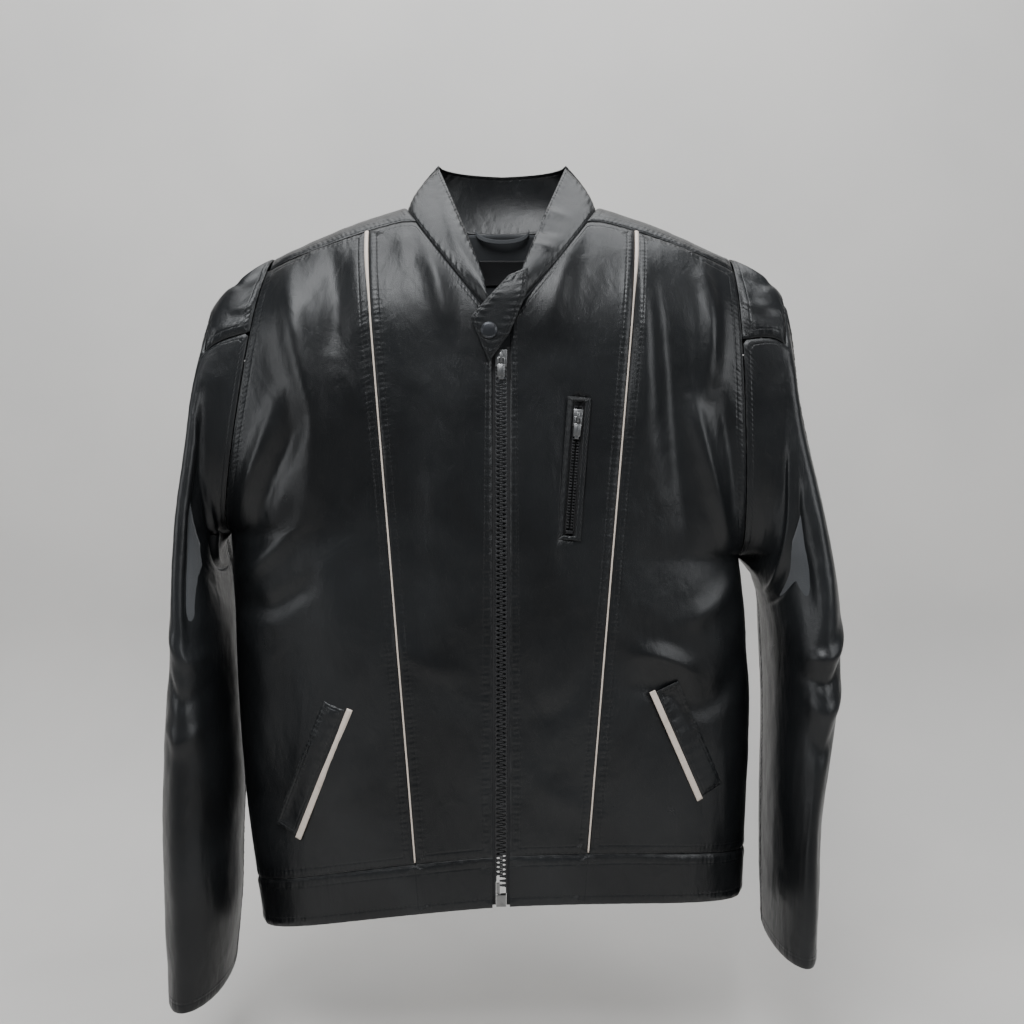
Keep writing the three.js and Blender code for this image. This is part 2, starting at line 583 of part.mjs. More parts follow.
// A slider round the two rows of teeth: plates, flanges, the wedge between the rows and the bridge
// that holds the pull. z is its middle, y the middle of the teeth.
function slider(y, z, wedgeX, wedgeHalf, half) {
  const inside = ZIP.teethThick / 2 + GAP;
  const reach = inside + SLIDER.plate;
  const long = SLIDER.length / 2;
  const tapeGap = ZIP.tapeThick / 2 + GAP;
  const parts = [
    block([-half, y - reach, z - long], [half, y - inside, z + long]),
    block([-half, y + inside, z - long], [half, y + reach, z + long]),
    block([wedgeX - wedgeHalf, y - reach + 0.2, z + 2.6], [wedgeX + wedgeHalf, y + reach - 0.2, z + long - 1]),
  ];
  for (const sign of [-1, 1]) {
    const [x0, x1] = sign < 0 ? [-half, -half + SLIDER.wall] : [half - SLIDER.wall, half];
    parts.push(block([x0, y - inside - 0.2, z - long], [x1, y - tapeGap, z + long]));
    parts.push(block([x0, y + tapeGap, z - long], [x1, y + inside + 0.2, z + long]));
  }
  const front = y - reach;
  const bridge = block([-SLIDER.bridge / 2, front - SLIDER.reach, z - 4], [SLIDER.bridge / 2, front + 0.1, z + 4]);
  const eye = block([-SLIDER.bridge, front - SLIDER.reach + 1.1, z - 2.5], [SLIDER.bridge, front, z + 2.5]);
  return unite(...parts, subtract(bridge, eye));
}
const pullY = (y) => y - ZIP.teethThick / 2 - GAP - SLIDER.plate - (SLIDER.reach - 1.1) / 2;
// A pull hangs from its bar in the slider's eye; z is the bar's middle.
function pull(y, z, length) {
  const half = PULL.width / 2;
  const outline = [[-half, z + PULL.bar / 2], [-half, z - length + 3], [-half + 2, z - length]];
  outline.push([half - 2, z - length], [half, z - length + 3], [half, z + PULL.bar / 2]);
  const thick = PULL.thick / 2;
  const top = z - PULL.bar / 2;
  const hole = block([-PULL.window / 2, y - 2, top - PULL.windowHigh], [PULL.window / 2, y + 2, top]);
  return subtract(plate(outline, y - thick, y + thick), hole);
}

const tapeY = -(FRONT_DEPTH - LEATHER - GAP) + ZIP.tapeThick / 2;
const teethHalf = ZIP.teethThick / 2;
for (const [name, side] of both) {
  const sign = side.sign;
  const tape = [[ZIP.tapeEdge, ZIP.bottom], [ZIP.tapeHalf, ZIP.bottom], [ZIP.tapeHalf, ZIP.tapeTop - 4]];
  tape.push([ZIP.tapeEdge + 3, ZIP.tapeTop], [ZIP.tapeEdge, ZIP.tapeTop]);
  const outline = tape.map(([x, z]) => [sign * x, z]);
  add("zip_tape_" + name, outwards(plate(outline, tapeY - ZIP.tapeThick / 2, tapeY + ZIP.tapeThick / 2)), "tape");
  const foot = name === "left" ? RETAINER.height : PIN.height + 2;
  const row = comb(sign * ZIP.spine, ZIP.bottom + foot + GAP, ZIP.top, ZIP.bite, ZIP.play);
  add("zip_teeth_" + name, outwards(plate(row, tapeY - teethHalf, tapeY + teethHalf)), "teeth");
}
const mainZ = ZIP.top - 2;
const wedgeHalf = 0.9;
add("main_slider", slider(tapeY, mainZ, -ZIP.bite - ZIP.play - wedgeHalf, wedgeHalf, SLIDER.half), "metal");
add("main_pull", pull(pullY(tapeY), mainZ, PULL.length), "metal");
// The box is open behind the pin, which lets the pin leave as the fronts part.
const pinX = -ZIP.bite - wedgeHalf;
const socketHalf = PIN.width / 2 + GAP;
add(
  "retainer_box",
  subtract(
    block(
      [-RETAINER.half, tapeY - RETAINER.thick / 2, ZIP.bottom - 1],
      [RETAINER.half, tapeY + RETAINER.thick / 2, ZIP.bottom - 1 + RETAINER.height],
    ),
    block(
      [-RETAINER.half - 1, tapeY - PIN.thick / 2 - GAP, ZIP.bottom + 0.5],
      [pinX + socketHalf, tapeY + RETAINER.thick, ZIP.bottom + RETAINER.height],
    ),
  ),
  "metal",
);
const pinFoot = ZIP.bottom + 0.5 + GAP;
add(
  "insertion_pin",
  unite(
    block(
      [pinX - PIN.width / 2, tapeY - PIN.thick / 2, pinFoot],
      [pinX + PIN.width / 2, tapeY + PIN.thick / 2, pinFoot + PIN.height],
    ),
    block(
      [-RETAINER.half, tapeY - PIN.thick / 2, ZIP.bottom - 1 + RETAINER.height + GAP],
      [pinX, tapeY + PIN.thick / 2, pinFoot + PIN.height],
    ),
  ),
  "metal",
);

// ----- Collar tab and snap -----
const tabRoot = block([17, TAB.back - 0.1, -92], [TAB.rootX, TAB.back + 3.4, -76]);
add("collar_tab", unite(plate(TAB.outline, TAB.back - TAB.thick, TAB.back), tabRoot), "leather");
const capY = TAB.back - TAB.thick - GAP;
const cap = [[0, 0], [SNAP.cap, 0], [SNAP.cap, 0.9], [SNAP.cap - 1.2, SNAP.capThick - 0.5], [0, SNAP.capThick]];
add("snap_cap", turned(cap, SNAP.x, capY, SNAP.z), "snap");
const hole = SNAP.post + GAP;
const socketBack = TAB.back + GAP + SNAP.socketThick;
const ring = [[hole, 0], [SNAP.socket, 0], [SNAP.socket, SNAP.socketThick], [hole, SNAP.socketThick], [hole, 0]];
add("snap_socket", turned(ring, SNAP.x, socketBack, SNAP.z), "snap");
const studBase = -FRONT_DEPTH - GAP;
const studRise = studBase - socketBack;
const stud = [[0, 0], [SNAP.base, 0], [SNAP.base, studRise - GAP], [SNAP.post, studRise - GAP]];
stud.push([SNAP.post, studRise + SNAP.socketThick - GAP], [0, studRise + SNAP.socketThick - GAP]);
add("snap_stud", turned(stud, SNAP.x, studBase, SNAP.z), "snap");

// ----- Chest pocket -----
const atChest = (geometry) => tilted(geometry, CHEST, CHEST_TURN);
const frameY = -FRONT_DEPTH - GAP;
const longHalf = CHEST.length / 2;
const frame = block([-CHEST.width / 2, frameY - CHEST.frameThick, -longHalf], [CHEST.width / 2, frameY, longHalf]);
const slot = block([-CHEST.slot / 2, frameY - 5, -longHalf + 5], [CHEST.slot / 2, frameY + 5, longHalf - 5]);
add("chest_pocket_frame", atChest(subtract(frame, slot)), "leather");
const chestY = -(FRONT_DEPTH - LEATHER - 1.2 - GAP) + ZIP.tapeThick / 2;
const chestRow = { spine: 3.2, edge: 3.6, bite: 0.25, play: 2.1 };
const tapeFrom = chestY - ZIP.tapeThick / 2;
const chestTape = block([-12, tapeFrom, -longHalf + 1], [12, tapeFrom + ZIP.tapeThick, longHalf - 1]);
const tapeSlot = block([-chestRow.edge, -FRONT_DEPTH, -longHalf + 6], [chestRow.edge, 0, longHalf - 6]);
add("chest_zip_tape", atChest(subtract(chestTape, tapeSlot)), "tape");
const rows = [-1, 1].map((sign) => {
  const outline = comb(sign * chestRow.spine, -longHalf + 8, longHalf - 8, chestRow.bite, chestRow.play);
  return outwards(plate(outline, chestY - teethHalf, chestY + teethHalf));
});
const stopBar = block(
  [-chestRow.spine, chestY - teethHalf, -longHalf + 6.5],
  [chestRow.spine, chestY + teethHalf, -longHalf + 9],
);
add("chest_zip_teeth", atChest(unite(...rows, stopBar)), "teeth");
add("chest_slider", atChest(slider(chestY, CHEST.sliderZ, 0, 0.45, CHEST.slot / 2 - 0.5)), "metal");
add("chest_pull", atChest(pull(pullY(chestY), CHEST.sliderZ, PULL.length)), "metal");
const bagFront = chestY + teethHalf + GAP + SLIDER.plate + GAP;
const bagBack = bagFront + 2 * POCKET.wall + POCKET.space - 3.2;
const bag = CHEST_BAG;
const bagBody = block([bag.left, bagFront, bag.bottom], [bag.right, bagBack, bag.top]);
const bagRim = subtract(
  block([-12, tapeFrom + ZIP.tapeThick + GAP, -longHalf + 2], [12, bagFront + 0.3, longHalf - 4]),
  block([-CHEST.slot / 2 - 1, tapeFrom, -longHalf + 5], [CHEST.slot / 2 + 1, bagFront + 1, longHalf - 7]),
);
const bagRoom = block(
  [bag.left + POCKET.wall, bagFront + POCKET.wall, bag.bottom + POCKET.wall],
  [bag.right - POCKET.wall, bagBack - POCKET.wall, bag.top - POCKET.wall],
);
const bagMouth = block(
  [-CHEST.slot / 2 - 1, bagFront - 5, -longHalf + 5],
  [CHEST.slot / 2 + 1, bagFront + 2, longHalf - 7],
);
add("chest_pocket_bag", atChest(subtract(unite(bagBody, bagRim), bagRoom, bagMouth)), "lining");

// ----- Hand pockets -----
for (const [name, side] of both) {
  const at = HAND_POCKETS[name];
  const flip = side.sign > 0;
  const tilt = rad(at.tilt);
  // A strip laid on the body: across is measured outwards from the pocket's line, v runs up it.
  const strip = (from, to, length) => (u, v) => {
    const across = lerp(from, to, u);
    const up = (v - 0.5) * length;
    const x = at.x + across * Math.cos(tilt) - up * Math.sin(tilt);
    return onBody(side, x, at.z + across * Math.sin(tilt) + up * Math.cos(tilt), "front");
  };
  const [low, high] = [-HAND.lift - HAND.stripThick, -HAND.lift];
  const half = HAND.strip / 2;
  const edge = sheet(strip(-half, half, at.length), [0, 1], steps(6), low, high, 0, flip);
  add("hand_pocket_strip_" + name, edge, "piping");
  const from = half + GAP;
  const welt = strip(from, from + HAND.width, at.length - 4);
  const weltSheet = sheet(welt, steps(3), steps(6), -HAND.lift - HAND.thick, -HAND.lift, 0, flip);
  add("hand_pocket_welt_" + name, weltSheet, "leather");
  // The bag is a pouch between leather and lining, open towards the side seam.
  const pouch = (grow, open) => (u, v) => {
    const x = lerp(at.x - HAND.bagIn - grow, at.x + HAND.bagOut + open, u);
    return onBody(side, x, at.z + lerp(-HAND.bagLow - grow, HAND.bagHigh + grow, v), "front");
  };
  const nearSide = LEATHER + 0.6;
  const farSide = nearSide + 2 * POCKET.wall + POCKET.space;
  const body = sheet(pouch(0, 0), steps(4), steps(4), nearSide, farSide, 0, flip);
  const { wall } = POCKET;
  const room = sheet(pouch(-wall, 6), steps(4), steps(4), nearSide + wall, farSide - wall, 0, flip);
  add("hand_pocket_bag_" + name, subtract(body, room), "lining");
}

// ----- Inside the neck -----
const insideNeck = (half, low, high) => (u, v) => {
  const x = lerp(-half, half, u);
  const side = x < 0 ? SIDES.right : SIDES.left;
  return onBody(side, Math.abs(x), lerp(low, high, v), "back");
};
const facingDepth = LEATHER + 1.5;
const facingSheet = insideNeck(NECK.facingHalf, NECK.facingLow, NECK.facingHigh);
add("neck_facing", sheet(facingSheet, steps(6), steps(4), facingDepth, facingDepth + LINING, 0), "lining");
const labelDepth = facingDepth + LINING + GAP;
const labelSheet = insideNeck(NECK.labelHalf, NECK.labelLow, NECK.labelHigh);
add("neck_label", sheet(labelSheet, steps(2), steps(2), labelDepth, labelDepth + 0.6, 0), "label");
const loopOuter = block([-NECK.loopHalf, NECK.loopY, NECK.loopLow], [NECK.loopHalf, NECK.loopY + 1.2, NECK.loopHigh]);
const loopInner = block(
  [-NECK.loopHalf + 4, NECK.loopY - 1, NECK.loopLow + 3],
  [NECK.loopHalf - 4, NECK.loopY + 3, NECK.loopHigh + 1],
);
add("hang_loop", subtract(loopOuter, loopInner), "lining");

export default jacket;
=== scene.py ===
"""Leather riding jacket, hanging closed. Sizes are in millimetres and meshes are made in metres.

+X is the wearer's left, +Z is up and the wearer faces -Y. The origin is the middle of the neck.
"""

import logging
import math
from dataclasses import dataclass, field
from enum import Enum
from typing import Callable, Iterable, Sequence, Union

import bpy
import numpy as np
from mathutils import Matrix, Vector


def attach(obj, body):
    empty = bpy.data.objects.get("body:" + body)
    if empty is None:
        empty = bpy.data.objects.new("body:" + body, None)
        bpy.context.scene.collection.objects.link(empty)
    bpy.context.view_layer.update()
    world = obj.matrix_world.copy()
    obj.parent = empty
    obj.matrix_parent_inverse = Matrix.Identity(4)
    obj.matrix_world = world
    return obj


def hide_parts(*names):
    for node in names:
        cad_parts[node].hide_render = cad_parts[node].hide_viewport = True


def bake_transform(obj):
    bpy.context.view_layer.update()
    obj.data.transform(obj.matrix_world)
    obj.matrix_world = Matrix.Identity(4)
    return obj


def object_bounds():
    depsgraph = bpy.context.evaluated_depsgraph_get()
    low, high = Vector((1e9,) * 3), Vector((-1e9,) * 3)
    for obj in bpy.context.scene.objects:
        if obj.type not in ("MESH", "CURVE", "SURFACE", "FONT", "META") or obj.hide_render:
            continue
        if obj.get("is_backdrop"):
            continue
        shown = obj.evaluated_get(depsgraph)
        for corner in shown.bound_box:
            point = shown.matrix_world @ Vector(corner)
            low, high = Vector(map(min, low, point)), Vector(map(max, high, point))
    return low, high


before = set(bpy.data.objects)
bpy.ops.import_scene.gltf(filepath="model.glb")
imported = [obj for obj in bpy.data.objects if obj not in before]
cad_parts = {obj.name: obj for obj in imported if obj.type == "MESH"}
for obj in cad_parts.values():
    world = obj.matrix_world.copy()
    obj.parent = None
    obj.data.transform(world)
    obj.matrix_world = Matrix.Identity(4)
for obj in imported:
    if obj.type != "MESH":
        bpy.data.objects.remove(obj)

MM = 0.001
LOG = logging.getLogger("jacket")
Array = np.ndarray
Grid = Callable[[Array, Array], Array]
Triple = tuple[float, float, float]


class Face(Enum):
    """Which half of the body a surface lies on; the value is the sign of its Y."""

    FRONT = -1
    BACK = 1


class Edge(Enum):
    """An edge of a panel's grid: its axis and whether it is the far end of it."""

    U0 = (0, False)
    U1 = (0, True)
    V0 = (1, False)
    V1 = (1, True)


# ---------- Curves and surfaces ----------
def lerp(a: Array, b: Array, t: Array) -> Array:
    """Straight mix.

    Args:
        a: Value at t = 0.
        b: Value at t = 1.
        t: Share of b.

    Returns:
        The mixed value.
    """
    return a + (b - a) * t


def smoothstep(x: Array, low: float, high: float) -> Array:
    """Smooth rise from 0 at low to 1 at high.

    Args:
        x: Where to read it.
        low: Start of the rise.
        high: End of the rise.

    Returns:
        Values from 0 to 1.
    """
    t = np.clip((x - low) / (high - low), 0, 1)
    return t * t * (3 - 2 * t)


def curve(values: Sequence[float], t: Array) -> Array:
    """Smooth curve through numbers at equal steps.

    Args:
        values: The numbers, from t = 0 to t = 1.
        t: Where to read the curve.

    Returns:
        The curve at t.
    """
    v = np.asarray(values, float)
    last = len(v) - 1
    p = np.concatenate([[2 * v[0] - v[1]], v, [2 * v[-1] - v[-2]]])
    x = np.clip(t, 0, 1) * last
    i = np.minimum(x.astype(int), last - 1)
    f = x - i
    a, b, c, d = p[i], p[i + 1], p[i + 2], p[i + 3]
    return 0.5 * (2 * b + (c - a) * f + (2 * a - 5 * b + 4 * c - d) * f**2 + (3 * b - a - 3 * c + d) * f**3)


def unit(v: Array) -> Array:
    """Vectors scaled to length 1.

    Args:
        v: Vectors along the last axis.

    Returns:
        The unit vectors.
    """
    return v / np.maximum(np.linalg.norm(v, axis=-1, keepdims=True), 1e-9)


@dataclass(frozen=True)
class Side:
    """One side's drape: the armpit, the side line below it and the sleeve's outer and inner edge."""

    name: str
    sign: int
    armpit: tuple[float, float]
    line: tuple[tuple[float, float], ...]
    outer: tuple[tuple[float, float], ...]
    inner: tuple[tuple[float, float], ...]

    def side_x(self, z: Array) -> Array:
        """Half width of the body under the armpit.

        Args:
            z: Heights.

        Returns:
            Distances from the middle.
        """
        t = np.linspace(0, 1, 60)
        xs, zs = (curve([p[k] for p in self.line], t) for k in (0, 1))
        return np.interp(-np.asarray(z), -zs, xs)


RIGHT = Side(
    "right", -1, (256, -305),
    ((256, -305), (250, -408), (242, -532), (229, -640), (220, -700)),
    ((266, -104), (279, -180), (291, -275), (297, -370), (303, -465), (304, -560), (300, -640), (295, -714)),
    ((264, -318), (266, -338), (262, -362), (257, -400), (251, -470), (245, -560), (243, -640), (249, -714)),
)
LEFT = Side(
    "left", 1, (223, -328),
    ((223, -328), (231, -410), (232, -520), (226, -640), (220, -700)),
    ((258, -90), (276, -180), (294, -275), (307, -370), (307, -455), (286, -556), (280, -622), (279, -676)),
    ((236, -342), (243, -356), (248, -374), (250, -404), (251, -462), (247, -556), (244, -622), (243, -676)),
)
SIDES = (RIGHT, LEFT)


@dataclass(frozen=True)
class Torso:
    """The body's surface as a stack of rounded slices."""

    neck_half: float = 91
    tip: tuple[float, float] = (214, -49)
    shoulder_curve: float = 0.85
    depth: dict = field(default_factory=lambda: {Face.FRONT: 75.0, Face.BACK: 62.0})
    top_depth: float = 25
    top_height: float = 130
    roundness: float = 2.4
    flat: dict = field(default_factory=lambda: {Face.FRONT: 12.0, Face.BACK: 22.0})
    bulge: float = 70
    neck_drop: dict = field(default_factory=lambda: {Face.FRONT: 125.0, Face.BACK: 18.0})
    hem: tuple[float, float, float] = (-634, 0.06, 0.00045)
    band: float = 44
    yoke_drop: dict = field(default_factory=lambda: {Face.FRONT: 20.0, Face.BACK: 11.0})
    yoke_tip: float = 0.75
    back_yoke: float = -150
    back_seam: float = 95
    princess: tuple[float, float, float, float] = (122, -35, 76, -590)
    placket: float = 7.5
    side_seam: float = 0.995

    def ridge_z(self, x: Array) -> Array:
        """Height of the shoulder line at distance x from the middle.

        Args:
            x: Distances from the middle.

        Returns:
            Heights.
        """
        share = np.clip((x - self.neck_half) / (self.tip[0] - self.neck_half), 0, 1)
        return self.tip[1] * share ** (1 / self.shoulder_curve)

    def armhole_x(self, side: Side, z: Array) -> Array:
        """Distance of the armhole seam from the middle at height z.

        Args:
            side: The side it lies on.
            z: Heights.

        Returns:
            Distances from the middle.
        """
        share = (z - self.tip[1]) / (side.armpit[1] - self.tip[1])
        return lerp(self.tip[0], side.armpit[0], np.clip(share, 0, 1))

    def width(self, side: Side, z: Array) -> Array:
        """Half width of the slice at height z.

        Args:
            side: The side it lies on.
            z: Heights.

        Returns:
            Distances from the middle.
        """
        z = np.asarray(z, float)
        tip_x, tip_z = self.tip
        top = self.neck_half + (tip_x - self.neck_half) * np.clip(z / tip_z, 0, 1) ** self.shoulder_curve
        share = np.clip((z - tip_z) / (side.armpit[1] - tip_z), 0, 1)
        arm = self.armhole_x(side, z) + self.bulge * np.sin(np.pi * share) ** 0.8
        return np.where(z > tip_z, top, np.where(z > side.armpit[1], arm, side.side_x(z)))

    def slice_depth(self, face: Face, z: Array) -> Array:
        """Depth of the slice's middle at height z.

        Args:
            face: Front or back.
            z: Heights.

        Returns:
            Depths.
        """
        share = np.clip(-np.asarray(z) / self.top_height, 0, 1)
        return self.top_depth + (self.depth[face] - self.top_depth) * (1 - (1 - share) ** 2)

    def depth_at(self, side: Side, x: Array, z: Array, face: Face) -> Array:
        """Depth of the surface at distance x from the middle: 0 at the slice's side.

        Args:
            side: The side it lies on.
            x: Distances from the middle.
            z: Heights.
            face: Front or back.

        Returns:
            Depths.
        """
        share = np.clip((x - self.flat[face]) / (self.width(side, z) - self.flat[face]), 0, 1)
        return self.slice_depth(face, z) * (1 - share**self.roundness) ** (1 / self.roundness)

    def on(self, side: Side, x: Array, z: Array, face: Face) -> Array:
        """Points of the body's surface, for distances x and heights z.

        Args:
            side: The side it lies on.
            x: Distances from the middle.
            z: Heights.
            face: Front or back.

        Returns:
            Points of the surface.
        """
        x, z = np.broadcast_arrays(np.asarray(x, float), np.asarray(z, float))
        return np.stack([side.sign * x, face.value * self.depth_at(side, x, z, face), z], -1)

    def across(self, side: Side, turn: Array, z: Array, face: Face) -> Array:
        """Distance from the middle at a share of the quarter turn round a slice.

        Args:
            side: The side it lies on.
            turn: Shares of the quarter turn.
            z: Heights.
            face: Front or back.

        Returns:
            Distances from the middle.
        """
        flat = self.flat[face]
        return flat + (self.width(side, z) - flat) * np.sin(turn * np.pi / 2) ** (2 / self.roundness)

    def turn_of(self, side: Side, x: Array, z: Array, face: Face) -> Array:
        """The share of the quarter turn at distance x.

        Args:
            side: The side it lies on.
            x: Distances from the middle.
            z: Heights.
            face: Front or back.

        Returns:
            Shares of the quarter turn.
        """
        flat = self.flat[face]
        share = np.clip((x - flat) / (self.width(side, z) - flat), 0, 1)
        return np.arcsin(share ** (self.roundness / 2)) * 2 / np.pi

    def princess_x(self, z: Array) -> Array:
        """Distance of the piped front seam from the middle.

        Args:
            z: Heights.

        Returns:
            Distances from the middle.
        """
        top, top_z, foot, foot_z = self.princess
        return lerp(foot, top, (z - foot_z) / (top_z - foot_z))

    def hem_z(self, x: Array) -> Array:
        """Height of the hem at signed x.

        Args:
            x: Distances from the middle.

        Returns:
            Heights.
        """
        middle, slope, arch = self.hem
        return middle + slope * x - arch * x * x

    def neck_z(self, x: Array, face: Face) -> Array:
        """Height of the neckline at distance x.

        Args:
            x: Distances from the middle.
            face: Front or back.

        Returns:
            Heights.
        """
        share = np.clip(x / self.neck_half, 0, 1)
        drop = (1 - share) ** 0.9 if face is Face.FRONT else 1 - share**2
        return -self.neck_drop[face] * drop

    def yoke_z(self, x: Array, face: Face = Face.FRONT) -> Array:
        """Height of the shoulder strip's edge at distance x.

        Args:
            x: Distances from the middle.
            face: Front or back.

        Returns:
            Heights.
        """
        share = np.clip((x - self.neck_half) / (self.tip[0] - self.neck_half), 0, 1)
        return self.ridge_z(x) - self.yoke_drop[face] * lerp(1, self.yoke_tip, share)

    def front_top(self, x: Array) -> Array:
        """Height of the front's top edge: the neckline, then the shoulder strip's edge.

        Args:
            x: Distances from the middle.

        Returns:
            Heights.
        """
        return np.minimum(self.neck_z(x, Face.FRONT), self.yoke_z(x))

    def patch(self, side: Side, face: Face, turns: tuple, lines: tuple) -> Grid:
        """A patch between two lines across and two lines up.

        Args:
            side: The side it lies on.
            face: Front or back.
            turns: Two functions of height giving the quarter turn's share at the patch's edges.
            lines: Two functions of distance giving the heights of its foot and top.

        Returns:
            The patch as a function of u and v.
        """

        def point(u: Array, v: Array) -> Array:
            """Points of the surface for shares u and v."""
            z = lerp(self.hem[0], 0, v)
            for _ in range(24):
                x = self.across(side, lerp(turns[0](z), turns[1](z), u), z, face)
                z = lerp(z, lerp(lines[0](x), lines[1](x), v), 0.5)
            return self.on(side, x, z, face)

        return point

    def front(self, side: Side, lines: tuple) -> Grid:
        """The front between the zip and the piped seam, as a function of u and v.

        Args:
            side: The side it lies on.
            lines: Heights of its foot and its top, as functions of x.

        Returns:
            The panel as a function of u and v.
        """

        def point(u: Array, v: Array) -> Array:
            """Points of the surface for shares u and v."""
            x = self.placket + 0 * u
            for _ in range(8):
                z = lerp(lines[0](x), lines[1](x), v)
                x = lerp(self.placket, self.princess_x(z), u)
            return self.on(side, x, z, Face.FRONT)

        return point


TORSO = Torso()


@dataclass(frozen=True)
class Sleeve:
    """A sleeve's tube: angle 0 is its outer edge, 90 its front; s runs from armhole to cuff."""

    half_depth: tuple[float, ...] = (66, 66, 70, 76, 82, 80, 74, 68, 64)
    forward: tuple[float, ...] = (0, 0, 0, -2, -6, -12, -22, -32, -38)
    roundness: float = 2.2
    cap: float = 0.13
    cap_angles: tuple[float, float] = (50, 66)
    seam: float = 25

    def tube(self, side: Side, degrees: Array, s: Array) -> Array:
        """Points of the tube.

        Args:
            side: Whose sleeve.
            degrees: Angles round it.
            s: Shares of its length.

        Returns:
            The points.
        """
        degrees, s = np.broadcast_arrays(np.asarray(degrees, float), np.asarray(s, float))
        angle = np.radians(degrees)
        outer = [curve([p[k] for p in (TORSO.tip, *side.outer)], s) for k in (0, 1)]
        inner = [curve([p[k] for p in (side.armpit, *side.inner)], s) for k in (0, 1)]
        x, z = ((o + i) / 2 + (o - i) / 2 * np.cos(angle) for o, i in zip(outer, inner))
        sign = np.where(np.sin(angle) > 0, -1, 1)
        round_ = np.abs(np.sin(angle)) ** (2 / self.roundness)
        hole_x = TORSO.armhole_x(side, z)
        hole = np.where(
            sign < 0,
            TORSO.depth_at(side, hole_x, z, Face.FRONT),
            TORSO.depth_at(side, hole_x, z, Face.BACK),
        )
        free = sign * curve(self.half_depth, s) * round_ + curve(self.forward, s)
        y = lerp(sign * hole, free, smoothstep(s, 0, 0.3))
        return np.stack([side.sign * x, y, z], -1)

    def cap_edge(self, degrees: Array) -> Array:
        """Share of the length that the shoulder cap covers at an angle."""
        tight, wide = self.cap_angles
        away = np.abs((np.asarray(degrees) + 180) % 360 - 180)
        return self.cap * np.clip((wide - away) / (wide - tight), 0, 1)


SLEEVE = Sleeve()


# ---------- Drape ----------
FOLD_GAIN = 1.35  # how much deeper every fold is than its own height


@dataclass(frozen=True)
class Fold:
    """A fold along a line of points, raised or sunk, fading out at its ends."""

    path: tuple[tuple[float, float], ...]
    width: float
    height: float
    crisp: float = 1.0

    def at(self, a: Array, b: Array) -> Array:
        """Height of the fold.

        Args:
            a: First coordinate of each point.
            b: Second coordinate of each point.

        Returns:
            Heights.
        """
        t = np.linspace(0, 1, 24)
        line = np.stack([curve([p[k] for p in self.path], t) for k in (0, 1)], -1)
        step = np.diff(line, axis=0)
        da, db = a[..., None] - line[:-1, 0], b[..., None] - line[:-1, 1]
        share = np.clip((da * step[:, 0] + db * step[:, 1]) / (step**2).sum(-1), 0, 1)
        away = np.hypot(da - share * step[:, 0], db - share * step[:, 1])
        near = np.argmin(away, -1)
        along = (near + np.take_along_axis(share, near[..., None], -1)[..., 0]) / len(step)
        fade = np.sin(np.pi * np.clip(along * 0.92 + 0.04, 0, 1)) ** 0.7
        return FOLD_GAIN * self.height * fade * np.exp(-((away.min(-1) / self.width) ** (2 * self.crisp)))


@dataclass(frozen=True)
class Drape:
    """Folds laid over a surface's two coordinates, with a gentle unevenness over all of it."""

    folds: tuple[Fold, ...] = ()
    swell: float = 0.5
    ripple: float = 0.1
    seed: int = 3

    def waves(self, a: Array, b: Array, count: int, lengths: tuple[float, float]) -> Array:
        """A mix of waves in all directions, from -1 to 1 or so."""
        rng = np.random.default_rng(self.seed + count)
        total = np.zeros_like(a, dtype=float)
        for _ in range(count):
            turn, phase = rng.uniform(0, 2 * np.pi, 2)
            k = 2 * np.pi / rng.uniform(*lengths)
            warp = 6 * np.sin(b / 47 + phase) + 4 * np.sin(a / 31 - phase)
            total += np.sin(k * (a * np.cos(turn) + 0.6 * b * np.sin(turn) + warp) + phase)
        return total / math.sqrt(count)

    def at(self, a: Array, b: Array) -> Array:
        """Heights of the drape over the coordinates a and b."""
        total = self.swell * self.waves(a, b, 7, (70, 160)) + self.ripple * self.waves(a, b, 16, (11, 34))
        for fold in self.folds:
            total = total + fold.at(a, b)
        return total


